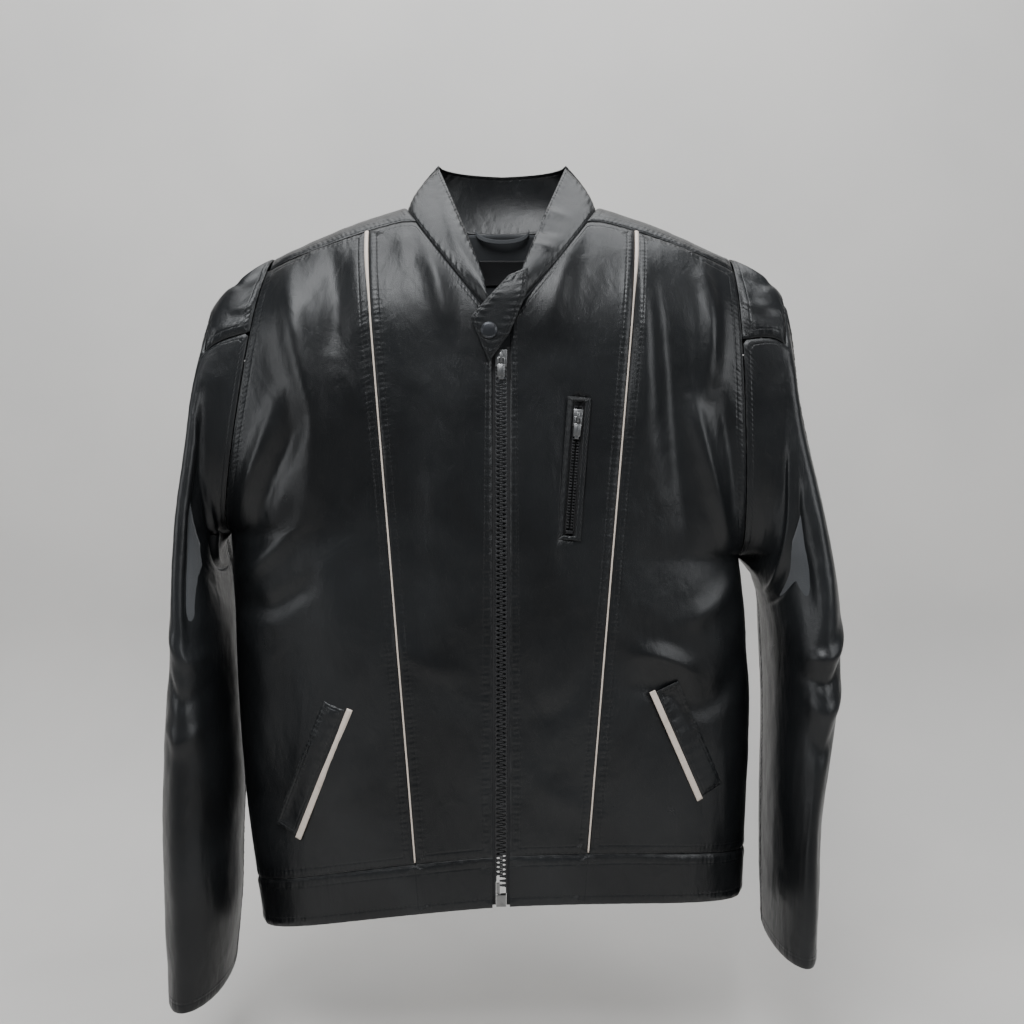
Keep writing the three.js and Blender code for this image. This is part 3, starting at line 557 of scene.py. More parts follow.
FRONT_DRAPE = Drape(
    (
        # wearer's right
        Fold(((-196, -62), (-183, -126), (-166, -206), (-170, -300)), 15, 6.0),
        Fold(((-153, -50), (-148, -95), (-146, -150)), 13, -4.0),
        Fold(((-228, -318), (-205, -255), (-178, -205)), 10, -3.5),
        Fold(((-236, -290), (-218, -240), (-196, -180)), 9, 3.5),
        Fold(((-240, -350), (-215, -330), (-180, -300)), 9, 3.0),
        Fold(((-238, -372), (-206, -372), (-168, -350)), 9, -2.6),
        Fold(((-150, -300), (-146, -400), (-150, -540)), 26, 3.2),
        Fold(((-205, -390), (-198, -470), (-205, -580)), 22, -3.0),
        Fold(((-72, -40), (-58, -78), (-48, -125)), 10, 3.0),
        Fold(((-92, -32), (-88, -48), (-86, -66)), 8, 1.6),
        Fold(((-40, -150), (-48, -260), (-44, -420)), 18, 2.2),
        Fold(((-78, -190), (-80, -330), (-66, -520)), 14, -1.8),
        Fold(((-108, -395), (-70, -420), (-30, -432)), 10, 1.2),
        # wearer's left
        Fold(((120, -58), (129, -150), (127, -250)), 13, 4.2),
        Fold(((143, -85), (152, -190), (168, -330)), 13, -5.0),
        Fold(((182, -66), (187, -120), (184, -178)), 9, 4.5),
        Fold(((170, -190), (184, -245), (204, -318)), 8, 5.0),
        Fold(((196, -180), (206, -235), (212, -290)), 8, -3.6),
        Fold(((118, -412), (145, -417), (172, -432)), 9, 4.0),
        Fold(((112, -440), (146, -446), (176, -462)), 10, -2.2),
        Fold(((214, -345), (190, -372), (160, -388)), 10, 2.6),
        Fold(((150, -470), (200, -450), (228, -400)), 13, -2.4),
        Fold(((196, -480), (204, -540), (200, -590)), 18, 3.0),
        Fold(((70, -30), (55, -72), (46, -120)), 9, 2.6),
        Fold(((36, -170), (40, -300), (34, -430)), 15, 2.0),
        Fold(((90, -400), (60, -455), (24, -470)), 12, -1.4),
        Fold(((30, -520), (60, -545), (95, -560)), 12, 1.4),
    ),
    swell=0.9,
    ripple=0.13,
)
BACK_DRAPE = Drape(
    (
        Fold(((-214, -300), (-170, -240), (-120, -215)), 14, 4.0),
        Fold(((-222, -330), (-175, -290), (-125, -280)), 14, -3.5),
        Fold(((208, -320), (165, -250), (120, -225)), 14, 4.0),
        Fold(((216, -350), (170, -300), (122, -290)), 14, -3.5),
        Fold(((-60, -170), (-66, -330), (-52, -560)), 24, 3.2),
        Fold(((58, -175), (66, -350), (60, -560)), 24, 3.0),
        Fold(((0, -200), (4, -360), (0, -560)), 20, -2.4),
        Fold(((-150, -330), (-160, -450), (-150, -570)), 22, 2.6),
        Fold(((150, -330), (158, -450), (148, -570)), 22, 2.6),
        Fold(((-90, -515), (0, -530), (90, -512)), 16, 2.0),
    ),
    swell=1.1,
    ripple=0.13,
    seed=8,
)
SLEEVE_SCALE = (1.1, 640.0)  # millimetres for a degree round the sleeve, and for its whole length
SLEEVE_DRAPES = {
    "right": Drape(
        (
            Fold(((62, 60), (78, 190), (86, 330)), 20, 4.5),
            Fold(((112, 90), (122, 220), (118, 340)), 18, -3.6),
            Fold(((150, 60), (158, 110), (190, 150)), 10, 3.2),
            Fold(((140, 110), (170, 150), (205, 170)), 9, -2.6),
            Fold(((60, 330), (110, 350), (165, 340)), 9, 2.4),
            Fold(((55, 368), (105, 384), (160, 372)), 9, -2.0),
            Fold(((60, 405), (100, 416), (150, 404)), 8, 1.8),
            Fold(((90, 430), (92, 520), (100, 610)), 20, 2.6),
            Fold(((240, 130), (260, 300), (250, 470)), 26, 3.0),
            Fold(((300, 300), (340, 340), (390, 350)), 12, 2.4),
        ),
        swell=1.0, ripple=0.13, seed=13,
    ),
    "left": Drape(
        (
            Fold(((58, 70), (70, 190), (80, 320)), 18, 4.0),
            Fold(((110, 90), (118, 200), (112, 330)), 18, -3.8),
            Fold(((96, 120), (130, 170), (180, 190)), 10, 3.4),
            Fold(((92, 165), (130, 215), (185, 235)), 9, -2.8),
            Fold(((45, 330), (85, 352), (130, 345)), 8, 3.0),
            Fold(((45, 356), (88, 376), (135, 368)), 7, -2.6),
            Fold(((48, 384), (88, 402), (130, 394)), 8, 2.6),
            Fold(((52, 412), (90, 428), (128, 420)), 8, -2.0),
            Fold(((90, 430), (96, 520), (92, 610)), 20, 2.4),
            Fold(((250, 130), (270, 300), (255, 470)), 26, 3.0),
            Fold(((300, 330), (345, 360), (400, 365)), 12, 2.6),
        ),
        swell=1.0, ripple=0.13, seed=21,
    ),
}


# ---------- Meshes ----------
def spaced(count: int, length: float, fine: Sequence[float] = (0.5, 1.1, 1.9, 3.0, 4.6)) -> Array:
    """Shares of a length with extra lines close to both ends.

    Args:
        count: Even steps.
        length: The length in millimetres.
        fine: Distances of the extra lines from an end.

    Returns:
        Rising shares from 0 to 1.
    """
    near = np.array(fine) / length
    even = np.linspace(0, 1, count + 1)
    middle = even[(even > near[-1] * 1.2) & (even < 1 - near[-1] * 1.2)]
    return np.concatenate([[0], near, middle, 1 - near[::-1], [1]])


def mesh_object(name: str, points: Array, faces: list, material: bpy.types.Material) -> bpy.types.Object:
    """A smooth mesh object from points in millimetres.

    Args:
        name: Its name.
        points: Points, n by 3.
        faces: Lists of point numbers.
        material: Its material.

    Returns:
        The object, linked to the scene.
    """
    name = "look_" + name
    mesh = bpy.data.meshes.new(name)
    mesh.from_pydata((np.asarray(points, float) * MM).tolist(), [], faces)
    mesh.materials.append(material)
    mesh.polygons.foreach_set("use_smooth", [True] * len(mesh.polygons))
    mesh.update()
    obj = bpy.data.objects.new(name, mesh)
    bpy.context.scene.collection.objects.link(obj)
    return obj


@dataclass(frozen=True)
class Cut:
    """How a panel is cut and sewn."""

    thick: float = 1.7
    roll: float = 1.15  # how far a sewn edge turns down
    roll_width: float = 2.3
    groove: float = 0.5  # gap left at each edge
    pucker: float = 0.22
    pucker_step: float = 11.0
    top: float = 0.0  # depth of its outer face under the surface
    sewn: tuple[Edge, ...] = tuple(Edge)


HEM_CUT = Cut(groove=0.03, pucker=0.4, pucker_step=14, sewn=(Edge.V0, Edge.V1))


class Panel:
    """A piece of leather or cloth laid over a patch of surface."""

    def __init__(
        self, name: str, grid: Grid, us: Array, vs: Array, drape: Callable | None, cut: Cut = Cut(),
        inside: tuple[float, float] = (0, 0),
    ) -> None:
        """Lays the panel.

        Args:
            name: Its name.
            grid: The surface as a function of u and v.
            us: Grid lines in u.
            vs: Grid lines in v.
            drape: A function of the points giving heights, or None.
            cut: How it is cut and sewn.
            inside: A place in X and Y that lies behind it.
        """
        self.name = name
        self.cut = cut
        u, v = np.meshgrid(us, vs, indexing="ij")
        base = grid(u, v)
        self.flow = unit(self.cross(base))
        away = (base[..., :2] - np.array(inside)) * self.flow[..., :2]
        if away.sum() < 0:
            self.flow = -self.flow
        self.arc_u, self.arc_v = self.arcs(base)
        base = self.inset(base, cut.groove)
        ends = {
            Edge.U0: self.arc_u, Edge.U1: self.arc_u[-1:, :] - self.arc_u,
            Edge.V0: self.arc_v, Edge.V1: self.arc_v[:, -1:] - self.arc_v,
        }
        self.edge = np.min([ends[e] for e in cut.sewn], axis=0) if cut.sewn else 0 * self.arc_u + 99
        side = np.minimum(ends[Edge.U0], ends[Edge.U1])
        foot = np.minimum(ends[Edge.V0], ends[Edge.V1])
        self.run = np.where(side < foot, self.arc_v, self.arc_u)
        height = -cut.roll * np.exp(-((self.edge / cut.roll_width) ** 2)) - cut.top
        wave = np.sin(2 * np.pi * self.run / cut.pucker_step + 1.7 * np.sin(self.run / 29))
        height = height + cut.pucker * wave * np.exp(-(((self.edge - 5) / 5) ** 2))
        if drape is not None:
            height = height + drape(base) * smoothstep(self.edge, -4, 9)
        self.flat_size, self.area = self.pattern(base)
        self.points = base + self.flow * height[..., None]
        self.normals = unit(self.cross(self.points))
        self.normals *= np.sign((self.normals * self.flow).sum())

    @staticmethod
    def cross(points: Array) -> Array:
        """Normals of a grid of points, outward for a right-handed u and v.

        Args:
            points: Points of a surface.

        Returns:
            Normals.
        """
        du = np.gradient(points, axis=0)
        dv = np.gradient(points, axis=1)
        return np.cross(du, dv)

    @staticmethod
    def arcs(points: Array) -> tuple[Array, Array]:
        """Lengths along the grid in u and in v.

        Args:
            points: Points of a surface.

        Returns:
            Lengths in u and in v.
        """
        found = []
        for axis in (0, 1):
            step = np.linalg.norm(np.diff(points, axis=axis), axis=-1)
            zero = np.zeros_like(np.take(step, [0], axis=axis))
            found.append(np.concatenate([zero, np.cumsum(step, axis=axis)], axis=axis))
        return found[0], found[1]

    @staticmethod
    def inset(points: Array, by: float) -> Array:
        """The grid with its outline pulled in."""
        p = points.copy()
        for axis in (0, 1):
            q = np.moveaxis(p, axis, 0)
            for end, beside in ((0, 1), (-1, -2)):
                step = q[beside] - q[end]
                length = np.linalg.norm(step, axis=-1, keepdims=True)
                q[end] += step / np.maximum(length, 1e-9) * np.minimum(by, 0.8 * length)
        return p

    def pattern(self, base: Array) -> tuple[tuple[float, float], float]:
        """Size and area of the flat cut in metres, before any fold.

        Args:
            base: Points before any fold.

        Returns:
            Width and length, then the area, in metres.
        """
        cell = np.linalg.norm(self.cross(base), axis=-1)
        size = (float(self.arc_u[-1].max()) * MM, float(self.arc_v[:, -1].max()) * MM)
        return size, float(min(cell[:-1, :-1].sum() * MM * MM, size[0] * size[1]))

    def build(self, material: bpy.types.Material) -> bpy.types.Object:
        """Makes the closed mesh, with its own map and the distance from its edges.

        Args:
            material: The panel's material.

        Returns:
            The object.
        """
        m, n, _ = self.points.shape
        inner = self.points - self.flow * self.cut.thick
        points = np.concatenate([self.points.reshape(-1, 3), inner.reshape(-1, 3)])
        number = np.arange(m * n).reshape(m, n)
        a, b, c, d = number[:-1, :-1], number[1:, :-1], number[1:, 1:], number[:-1, 1:]
        outer_faces = np.stack([a, b, c, d], -1).reshape(-1, 4)
        inner_faces = outer_faces[:, ::-1] + m * n
        rims = []
        for line in (number[::-1, -1], number[:, 0], number[0, ::-1], number[-1, :]):
            rims.append(np.stack([line[:-1], line[:-1] + m * n, line[1:] + m * n, line[1:]], -1))
        faces = np.concatenate([outer_faces, inner_faces, *rims])
        flow = np.einsum("ijk,ijk->ij", self.cross(self.points), self.flow).sum()
        if flow < 0:
            faces = faces[:, ::-1]
        obj = mesh_object(self.name, points, faces.tolist(), material)
        self.mark(obj)
        return obj

    def mark(self, obj: bpy.types.Object) -> None:
        """Writes the panel's own coordinates onto its mesh.

        Args:
            obj: The panel's object.
        """
        for name, values in (
            ("edge", self.edge), ("run", self.run), ("across", self.arc_u), ("along", self.arc_v)
        ):
            attribute = obj.data.attributes.new(name, "FLOAT", "POINT")
            attribute.data.foreach_set("value", np.tile(values.reshape(-1), 2).astype(np.float32))

    def line(self, edge: Edge, away: float, trim: float = 4.0) -> tuple[Array, Array]:
        """Points and normals of a line that runs beside an edge.

        Args:
            edge: The edge.
            away: Distance from it.
            trim: How much is left off at both ends.

        Returns:
            Points and normals, n by 3.
        """
        axis, far = edge.value
        arc = self.arc_u if axis == 0 else self.arc_v.T
        points, normals = self.points, self.normals
        if axis == 1:
            points, normals = points.swapaxes(0, 1), normals.swapaxes(0, 1)
        found = []
        for j in range(arc.shape[1]):
            want = arc[-1, j] - away if far else away
            found.append([
                [np.interp(want, arc[:, j], grid[:, j, k]) for k in range(3)] for grid in (points, normals)
            ])
        line = np.array(found)
        length = np.concatenate([[0], np.cumsum(np.linalg.norm(np.diff(line[:, 0], axis=0), axis=1))])
        keep = (length > trim) & (length < length[-1] - trim)
        return line[keep, 0], unit(line[keep, 1])


@dataclass(frozen=True)
class Thread:
    """A row of stitches."""

    pitch: float = 3.8
    length: float = 2.9
    radius: float = 0.23
    sides: int = 5

    def stitches(self, points: Array, normals: Array) -> tuple[Array, list]:
        """Points and faces of the stitches along a line.

        Args:
            points: The line.
            normals: Its normals.

        Returns:
            Points, and faces as lists of point numbers.
        """
        arc = np.concatenate([[0], np.cumsum(np.linalg.norm(np.diff(points, axis=0), axis=1))])
        count = max(1, int(arc[-1] / self.pitch))
        where = (np.arange(count) + 0.5) * arc[-1] / count
        middle, normal, ahead = (
            np.stack([np.interp(where + shift, arc, grid[:, k]) for k in range(3)], -1)
            for grid, shift in ((points, 0.0), (normals, 0.0), (points, 0.5))
        )
        along = unit(ahead - middle + 1e-9)
        normal = unit(normal)
        across = unit(np.cross(along, normal))
        turn = np.arange(self.sides) * 2 * np.pi / self.sides
        rings = []
        for share, fat, sink in (
            (-1, 0.35, -0.55), (-0.6, 1, 0.05), (0, 1.1, 0.32), (0.6, 1, 0.05), (1, 0.35, -0.55)
        ):
            centre = middle + along * share * self.length / 2 + normal * self.radius * sink
            spoke = np.cos(turn)[:, None, None] * across + np.sin(turn)[:, None, None] * normal
            rings.append(centre + spoke * self.radius * fat)
        made = np.stack(rings).transpose(2, 0, 1, 3)
        each = len(rings) * self.sides
        faces = []
        for ring in range(len(rings) - 1):
            for k in range(self.sides):
                after = (k + 1) % self.sides
                low, high = ring * self.sides, (ring + 1) * self.sides
                faces.append([low + k, high + k, high + after, low + after])
        caps = [list(range(self.sides)), list(range(each - 1, each - 1 - self.sides, -1))]
        every = [[p + each * i for p in face] for i in range(count) for face in [*faces, *caps]]
        return made.reshape(-1, 3), every

    def sew(self, name: str, lines: Iterable, material: bpy.types.Material) -> bpy.types.Object:
        """One object with the stitches of several lines.

        Args:
            name: Its name.
            lines: Pairs of points and normals.
            material: The thread's material.

        Returns:
            The object.
        """
        points: list = []
        faces: list = []
        for line, normals in lines:
            made, found = self.stitches(line, normals)
            offset = sum(len(p) for p in points)
            faces += [[p + offset for p in face] for face in found]
            points.append(made)
        return mesh_object(name, np.concatenate(points), faces, material)


# ---------- Shading ----------
Value = Union["Signal", float]


class Signal:
    """A shader socket that takes part in arithmetic."""

    def __init__(self, shader: "Shader", socket: bpy.types.NodeSocket) -> None:
        """Wraps a socket of a shader."""
        self.shader = shader
        self.socket = socket

    def math(self, operation: str, *values: Value) -> "Signal":
        """Result of a Math node on values."""
        return self.shader.add("ShaderNodeMath", dict(enumerate(values)), operation=operation).out(0)

    def __add__(self, other: Value) -> "Signal":
        return self.math("ADD", self, other)

    def __sub__(self, other: Value) -> "Signal":
        return self.math("SUBTRACT", self, other)

    def __rsub__(self, other: Value) -> "Signal":
        return self.math("SUBTRACT", other, self)

    def __mul__(self, other: Value) -> "Signal":
        return self.math("MULTIPLY", self, other)

    def __truediv__(self, other: Value) -> "Signal":
        return self.math("DIVIDE", self, other)

    def __pow__(self, other: Value) -> "Signal":
        return self.math("POWER", self, other)

    __radd__ = __add__
    __rmul__ = __mul__

    def sin(self) -> "Signal":
        """Sine of the value."""
        return self.math("SINE", self)

    def step(self, low: float, high: float) -> "Signal":
        """Smooth rise from 0 at low to 1 at high."""
        node = self.shader.add(
            "ShaderNodeMapRange", {
                "Value": self, "From Min": low, "From Max": high
            }, interpolation_type="SMOOTHSTEP"
        )
        return node.out("Result")

    def bump(self, middle: float, width: float) -> "Signal":
        """1 at the middle, fading to 0 at a width from it."""
        return 1 - self.math("ABSOLUTE", self - middle).step(0, width)


class Made:
    """A node that was added to a shader."""

    def __init__(self, shader: "Shader", node: bpy.types.Node) -> None:
        """Wraps the node."""
        self.shader = shader
        self.node = node

    def out(self, key: Union[int, str]) -> Signal:
        """One of the node's outputs."""
        return Signal(self.shader, self.node.outputs[key])


class Shader:
    """A material's node tree, built up from nothing."""

    def __init__(self, name: str) -> None:
        """Starts a material of that name."""
        self.material = bpy.data.materials.new(name)
        self.material.use_nodes = True
        self.tree = self.material.node_tree
        self.tree.nodes.clear()

    def add(self, kind: str, inputs: dict | None = None, **settings: object) -> Made:
        """Adds a node.

        Args:
            kind: The node's type.
            inputs: Values or signals by socket name or number.
            settings: The node's properties.

        Returns:
            The node.
        """
        node = self.tree.nodes.new(kind)
        for key, value in settings.items():
            setattr(node, key, value)
        for key, value in (inputs or {}).items():
            if isinstance(value, Signal):
                self.tree.links.new(value.socket, node.inputs[key])
            else:
                node.inputs[key].default_value = value
        return Made(self, node)

    def place(self, scale: Triple = (1, 1, 1)) -> Signal:
        """Object coordinates, stretched."""
        where = self.add("ShaderNodeTexCoord").out("Object")
        return self.add("ShaderNodeMapping", {"Vector": where, "Scale": scale}).out("Vector")

    def noise(self, scale: float, detail: float = 3, stretch: Triple = (1, 1, 1), twist: float = 0) -> Signal:
        """Noise in object space, from 0 to 1."""
        inputs = {"Vector": self.place(stretch), "Scale": scale, "Detail": detail, "Distortion": twist}
        return self.add("ShaderNodeTexNoise", inputs).out("Fac")

    def cells(self, scale: float, feature: str = "DISTANCE_TO_EDGE") -> Signal:
        """Distances in a pattern of cells."""
        inputs = {"Vector": self.place(), "Scale": scale}
        return self.add("ShaderNodeTexVoronoi", inputs, feature=feature).out("Distance")

    def attribute(self, name: str) -> Signal:
        """A number kept on the mesh."""
        return self.add("ShaderNodeAttribute", attribute_name=name).out("Fac")

    def mix(self, share: Value, first: tuple, second: tuple) -> Signal:
        """Mix of two colours."""
        node = self.add("ShaderNodeMix", {0: share}, data_type="RGBA")
        for key, colour in ((6, first), (7, second)):
            if isinstance(colour, Signal):
                self.tree.links.new(colour.socket, node.node.inputs[key])
            else:
                node.node.inputs[key].default_value = (*colour, 1)
        return node.out(2)

    def relief(
        self, height: Signal, depth: float, strength: float = 1.0, under: Signal | None = None
    ) -> Signal:
        """A bumped normal from heights; depth is in metres."""
        inputs: dict = {"Height": height, "Distance": depth, "Strength": strength}
        if under is not None:
            inputs["Normal"] = under
        return self.add("ShaderNodeBump", inputs).out("Normal")

    def finish(self, **inputs: object) -> bpy.types.Material:
        """Ends with the surface shader.

        Args:
            inputs: Its sockets, with _ for a space.

        Returns:
            The material.
        """
        named = {key.replace("_", " "): value for key, value in inputs.items()}
        surface = self.add("ShaderNodeBsdfPrincipled", named)
        self.add("ShaderNodeOutputMaterial", {"Surface": surface.out("BSDF")})
        return self.material


@dataclass(frozen=True)
class Leather:
    """Coated leather with a fine pebbled grain, creases, pulled seams and worn edges."""

    name: str = "black_leather"
    dark: Triple = (0.0042, 0.0046, 0.0052)
    light: Triple = (0.011, 0.012, 0.013)
    worn: Triple = (0.035, 0.036, 0.036)
    roughness: float = 0.33
    grain: float = 760
    seam: float = 8.0

    def material(self) -> bpy.types.Material:
        """Builds it.

        Returns:
            The material.
        """
        s = Shader(self.name)
        edge, run = s.attribute("edge"), s.attribute("run")
        mottle = s.noise(9, 4, twist=0.6).step(0.3, 0.72)
        wear = (1 - edge.step(0.2, 2.0)) * s.noise(160, 4).step(0.42, 0.68)
        colour = s.mix(mottle, self.dark, self.light)
        colour = s.mix(wear * 0.6, colour, self.worn)
        pebble = s.cells(self.grain).step(0.0, 0.22)
        fine = s.noise(2600, 2)
        creases = s.noise(70, 7, (1, 1, 0.55), 1.3)
        soft = s.noise(24, 3, (1, 1, 0.6), 0.8)
        ladder = (run * (2 * math.pi / 4.6) + s.noise(60, 1) * 5).sin() * edge.bump(self.seam - 1.5, 6.5)
        sunk = edge.bump(self.seam, 1.5)
        normal = s.relief(creases, 0.0011, 0.33)
        normal = s.relief(soft, 0.0035, 0.4, normal)
        normal = s.relief(ladder * 0.35 - sunk, 0.00036, 0.55, normal)
        normal = s.relief(pebble * 0.75 + fine * 0.25, 0.00012, 0.42, normal)
        rough = s.noise(38, 5, twist=0.4) * 0.16 + (self.roughness - 0.07) + wear * 0.15 - pebble * 0.03
        return s.finish(Base_Color=colour, Roughness=rough, Normal=normal, Specular_IOR_Level=0.42, IOR=1.48)


@dataclass(frozen=True)
class Cloth:
    """Plain woven cloth."""

    name: str
    dark: Triple
    light: Triple
    step: float = 0.9  # millimetres from thread to thread
    roughness: float = 0.8
    sheen: float = 0.15

    def material(self) -> bpy.types.Material:
        """Builds it.

        Returns:
            The material.
        """
        s = Shader(self.name)
        across, along = s.attribute("across"), s.attribute("along")
        k = 2 * math.pi / self.step
        weave = (across * k).sin() * (along * k).sin()
        tone = s.noise(20, 3).step(0.3, 0.7)
        normal = s.relief(weave, 0.0001, 0.5, s.relief(s.noise(30, 4), 0.002, 0.4))
        rough = s.noise(200, 2) * 0.1 + (self.roughness - 0.05)
        colour = s.mix(tone * 0.7 + weave * 0.15, self.dark, self.light)
        return s.finish(Base_Color=colour, Roughness=rough, Normal=normal, Sheen_Weight=self.sheen)


@dataclass(frozen=True)
class Cream:
    """Cream coated leather of the piping, darker in random patches."""

    name: str = "cream_leather"
    bright_cream: Triple = (0.66, 0.575, 0.5)
    dim_cream: Triple = (0.36, 0.295, 0.235)

    def material(self) -> bpy.types.Material:
        """Builds it.

        Returns:
            The material.
        """
        s = Shader(self.name)
        # darker cream mixed into the colour in random noise patches
        dim_patches = s.noise(55, 5, twist=0.5).step(0.5, 0.85) * 0.55 + s.noise(420, 3).step(0.58, 0.8) * 0.25
        normal = s.relief(s.cells(900).step(0, 0.25), 0.00008, 0.4, s.relief(s.noise(120, 4), 0.0006, 0.4))
        rough = s.noise(90, 4) * 0.15 + 0.42
        return s.finish(Base_Color=s.mix(dim_patches, self.bright_cream, self.dim_cream), Roughness=rough, Normal=normal)


@dataclass(frozen=True)
class Hard:
    """Moulded plastic or metal with faint scratches."""

    name: str
    colour: Triple
    worn: Triple
    metallic: float
    roughness: float
    coat: float = 0.0

    def material(self) -> bpy.types.Material:
        """Builds it.

        Returns:
            The material.
        """
        s = Shader(self.name)
        scuff = s.noise(900, 4, (1, 1, 0.25), 0.6)
        patch = s.noise(140, 4).step(0.45, 0.75)
        colour = s.mix(patch * 0.6, self.colour, self.worn)
        normal = s.relief(scuff, 0.00004, 0.5)
        rough = scuff * 0.16 + patch * 0.1 + (self.roughness - 0.12)
        return s.finish(
            Base_Color=colour, Roughness=rough, Normal=normal, Metallic=self.metallic, Coat_Weight=self.coat
        )


@dataclass(frozen=True)
class Plain:
    """A plain matt surface, for the thread and for the floor."""

    name: str
    colour: Triple
    shade: Triple
    scale: float
    roughness: float

    def material(self) -> bpy.types.Material:
        """Builds it.

        Returns:
            The material.
        """
        s = Shader(self.name)
        tone = s.noise(self.scale, 4).step(0.3, 0.7)
        rough = s.noise(self.scale * 3, 2) * 0.1 + self.roughness - 0.05
        return s.finish(Base_Color=s.mix(tone, self.colour, self.shade), Roughness=rough)


class Finishes:
    """Every material of the jacket and its record slot."""

    def __init__(self) -> None:
        """Builds them all once."""
        self.leather = Leather().material()
        self.collar = Leather("collar_leather", seam=3.4).material()
        self.lining = Cloth("dark_lining", (0.04, 0.043, 0.047), (0.07, 0.074, 0.08)).material()
        self.tape = Cloth("black_tape", (0.006, 0.006, 0.007), (0.014, 0.014, 0.015), 1.3, 0.85).material()
        self.label = Cloth(
            "black_satin", (0.008, 0.008, 0.009), (0.016, 0.016, 0.018), 0.5, 0.45, 0.0
        ).material()
        self.piping = Cream().material()
        self.teeth = Hard("black_teeth", (0.012, 0.012, 0.013), (0.03, 0.03, 0.032), 0.0, 0.42).material()
        self.metal = Hard("nickel", (0.26, 0.26, 0.26), (0.15, 0.15, 0.145), 1.0, 0.36).material()
        self.snap = Hard("gunmetal", (0.055, 0.058, 0.064), (0.11, 0.11, 0.115), 0.85, 0.36, 0.2).material()
        self.thread = Plain(
            "black_thread", (0.006, 0.006, 0.0065), (0.013, 0.013, 0.014), 700, 0.8
        ).material()
        self.slots = {
            self.leather.name: "leather", self.collar.name: "leather", self.lining.name: "lining",
            self.tape.name: "zip_tape", self.label.name: "label", self.piping.name: "piping",
            self.teeth.name: "zip_teeth", self.metal.name: "zip_metal", self.snap.name: "snap_metal",
            self.thread.name: "leather",
        }


# ---------- The jacket ----------
class Body(Enum):
    """The parts that move, by their name in the frame."""

    ROOT = "root"
    SLIDER = "slider"
    PULL = "slider_pull"
    CHEST_SLIDER = "chest_slider"
    CHEST_PULL = "chest_slider_pull"
    TAB = "tab"


class Tailor:
    """Cuts, sews and hangs panels, and keeps what every sub-assembly shares."""

    def __init__(self, finishes: Finishes) -> None:
        """Keeps the finishes.

        Args:
            finishes: The materials.
        """
        self.finishes = finishes
        self.thread = Thread()
        self.count = 0

    @staticmethod
    def front_drape(points: Array) -> Array:
        """Heights of the front's folds."""
        return FRONT_DRAPE.at(points[..., 0], points[..., 2])

    @staticmethod
    def back_drape(points: Array) -> Array:
        """Heights of the back's folds."""
        return BACK_DRAPE.at(points[..., 0], points[..., 2])

    def hang(self, obj: bpy.types.Object, body: Union[Body, str], blend: tuple | None = None) -> None:
        """Gives a piece its body; with a blend it only bakes the piece's place into its mesh and bends nothing.

        Args:
            obj: The piece.
            body: The body it rides.
            blend: Start and end of a bend in millimetres, or None; no bend is made from them.
        """
        name = body.value if isinstance(body, Body) else body
        if blend is None:
            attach(obj, name)
        else:
            start, end = (tuple(MM * c for c in p) for p in blend)
            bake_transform(obj)
        self.count += 1

    def panel(
        self, panel: Panel, body: Union[Body, str], material: bpy.types.Material, nodes: Sequence[str],
        lines: Sequence[tuple[Edge, float]] = (), blend: tuple | None = None, rests: Sequence[str] = ("back_yoke",),
    ) -> bpy.types.Object:
        """Makes a panel and its stitches and hangs them.

        Args:
            panel: The panel.
            body: The body it rides.
            material: Its material.
            nodes: The frame's nodes that it stands for.
            lines: Edges and distances of its rows of stitches.
            blend: Start and end of a bend, passed to hang; no bend is made.
            rests: What it hangs from; not used.

        Returns:
            The panel's object.
        """
        obj = panel.build(material)
        self.hang(obj, body, blend)
        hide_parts(*nodes)
        if lines:
            rows = [panel.line(edge, away) for edge, away in lines]
            rows = [row for row in rows if len(row[0]) > 3]
            thread = self.thread.sew(panel.name + "_thread", rows, self.finishes.thread)
            self.hang(thread, body, blend)
        return obj


def lining_cut(depth: float) -> Cut:
    """How a lining is cut that lies at a depth under the leather."""
    return Cut(thick=0.7, roll=-max(depth - 2.6, 0), roll_width=16, groove=0.8, pucker=0.0, top=depth)


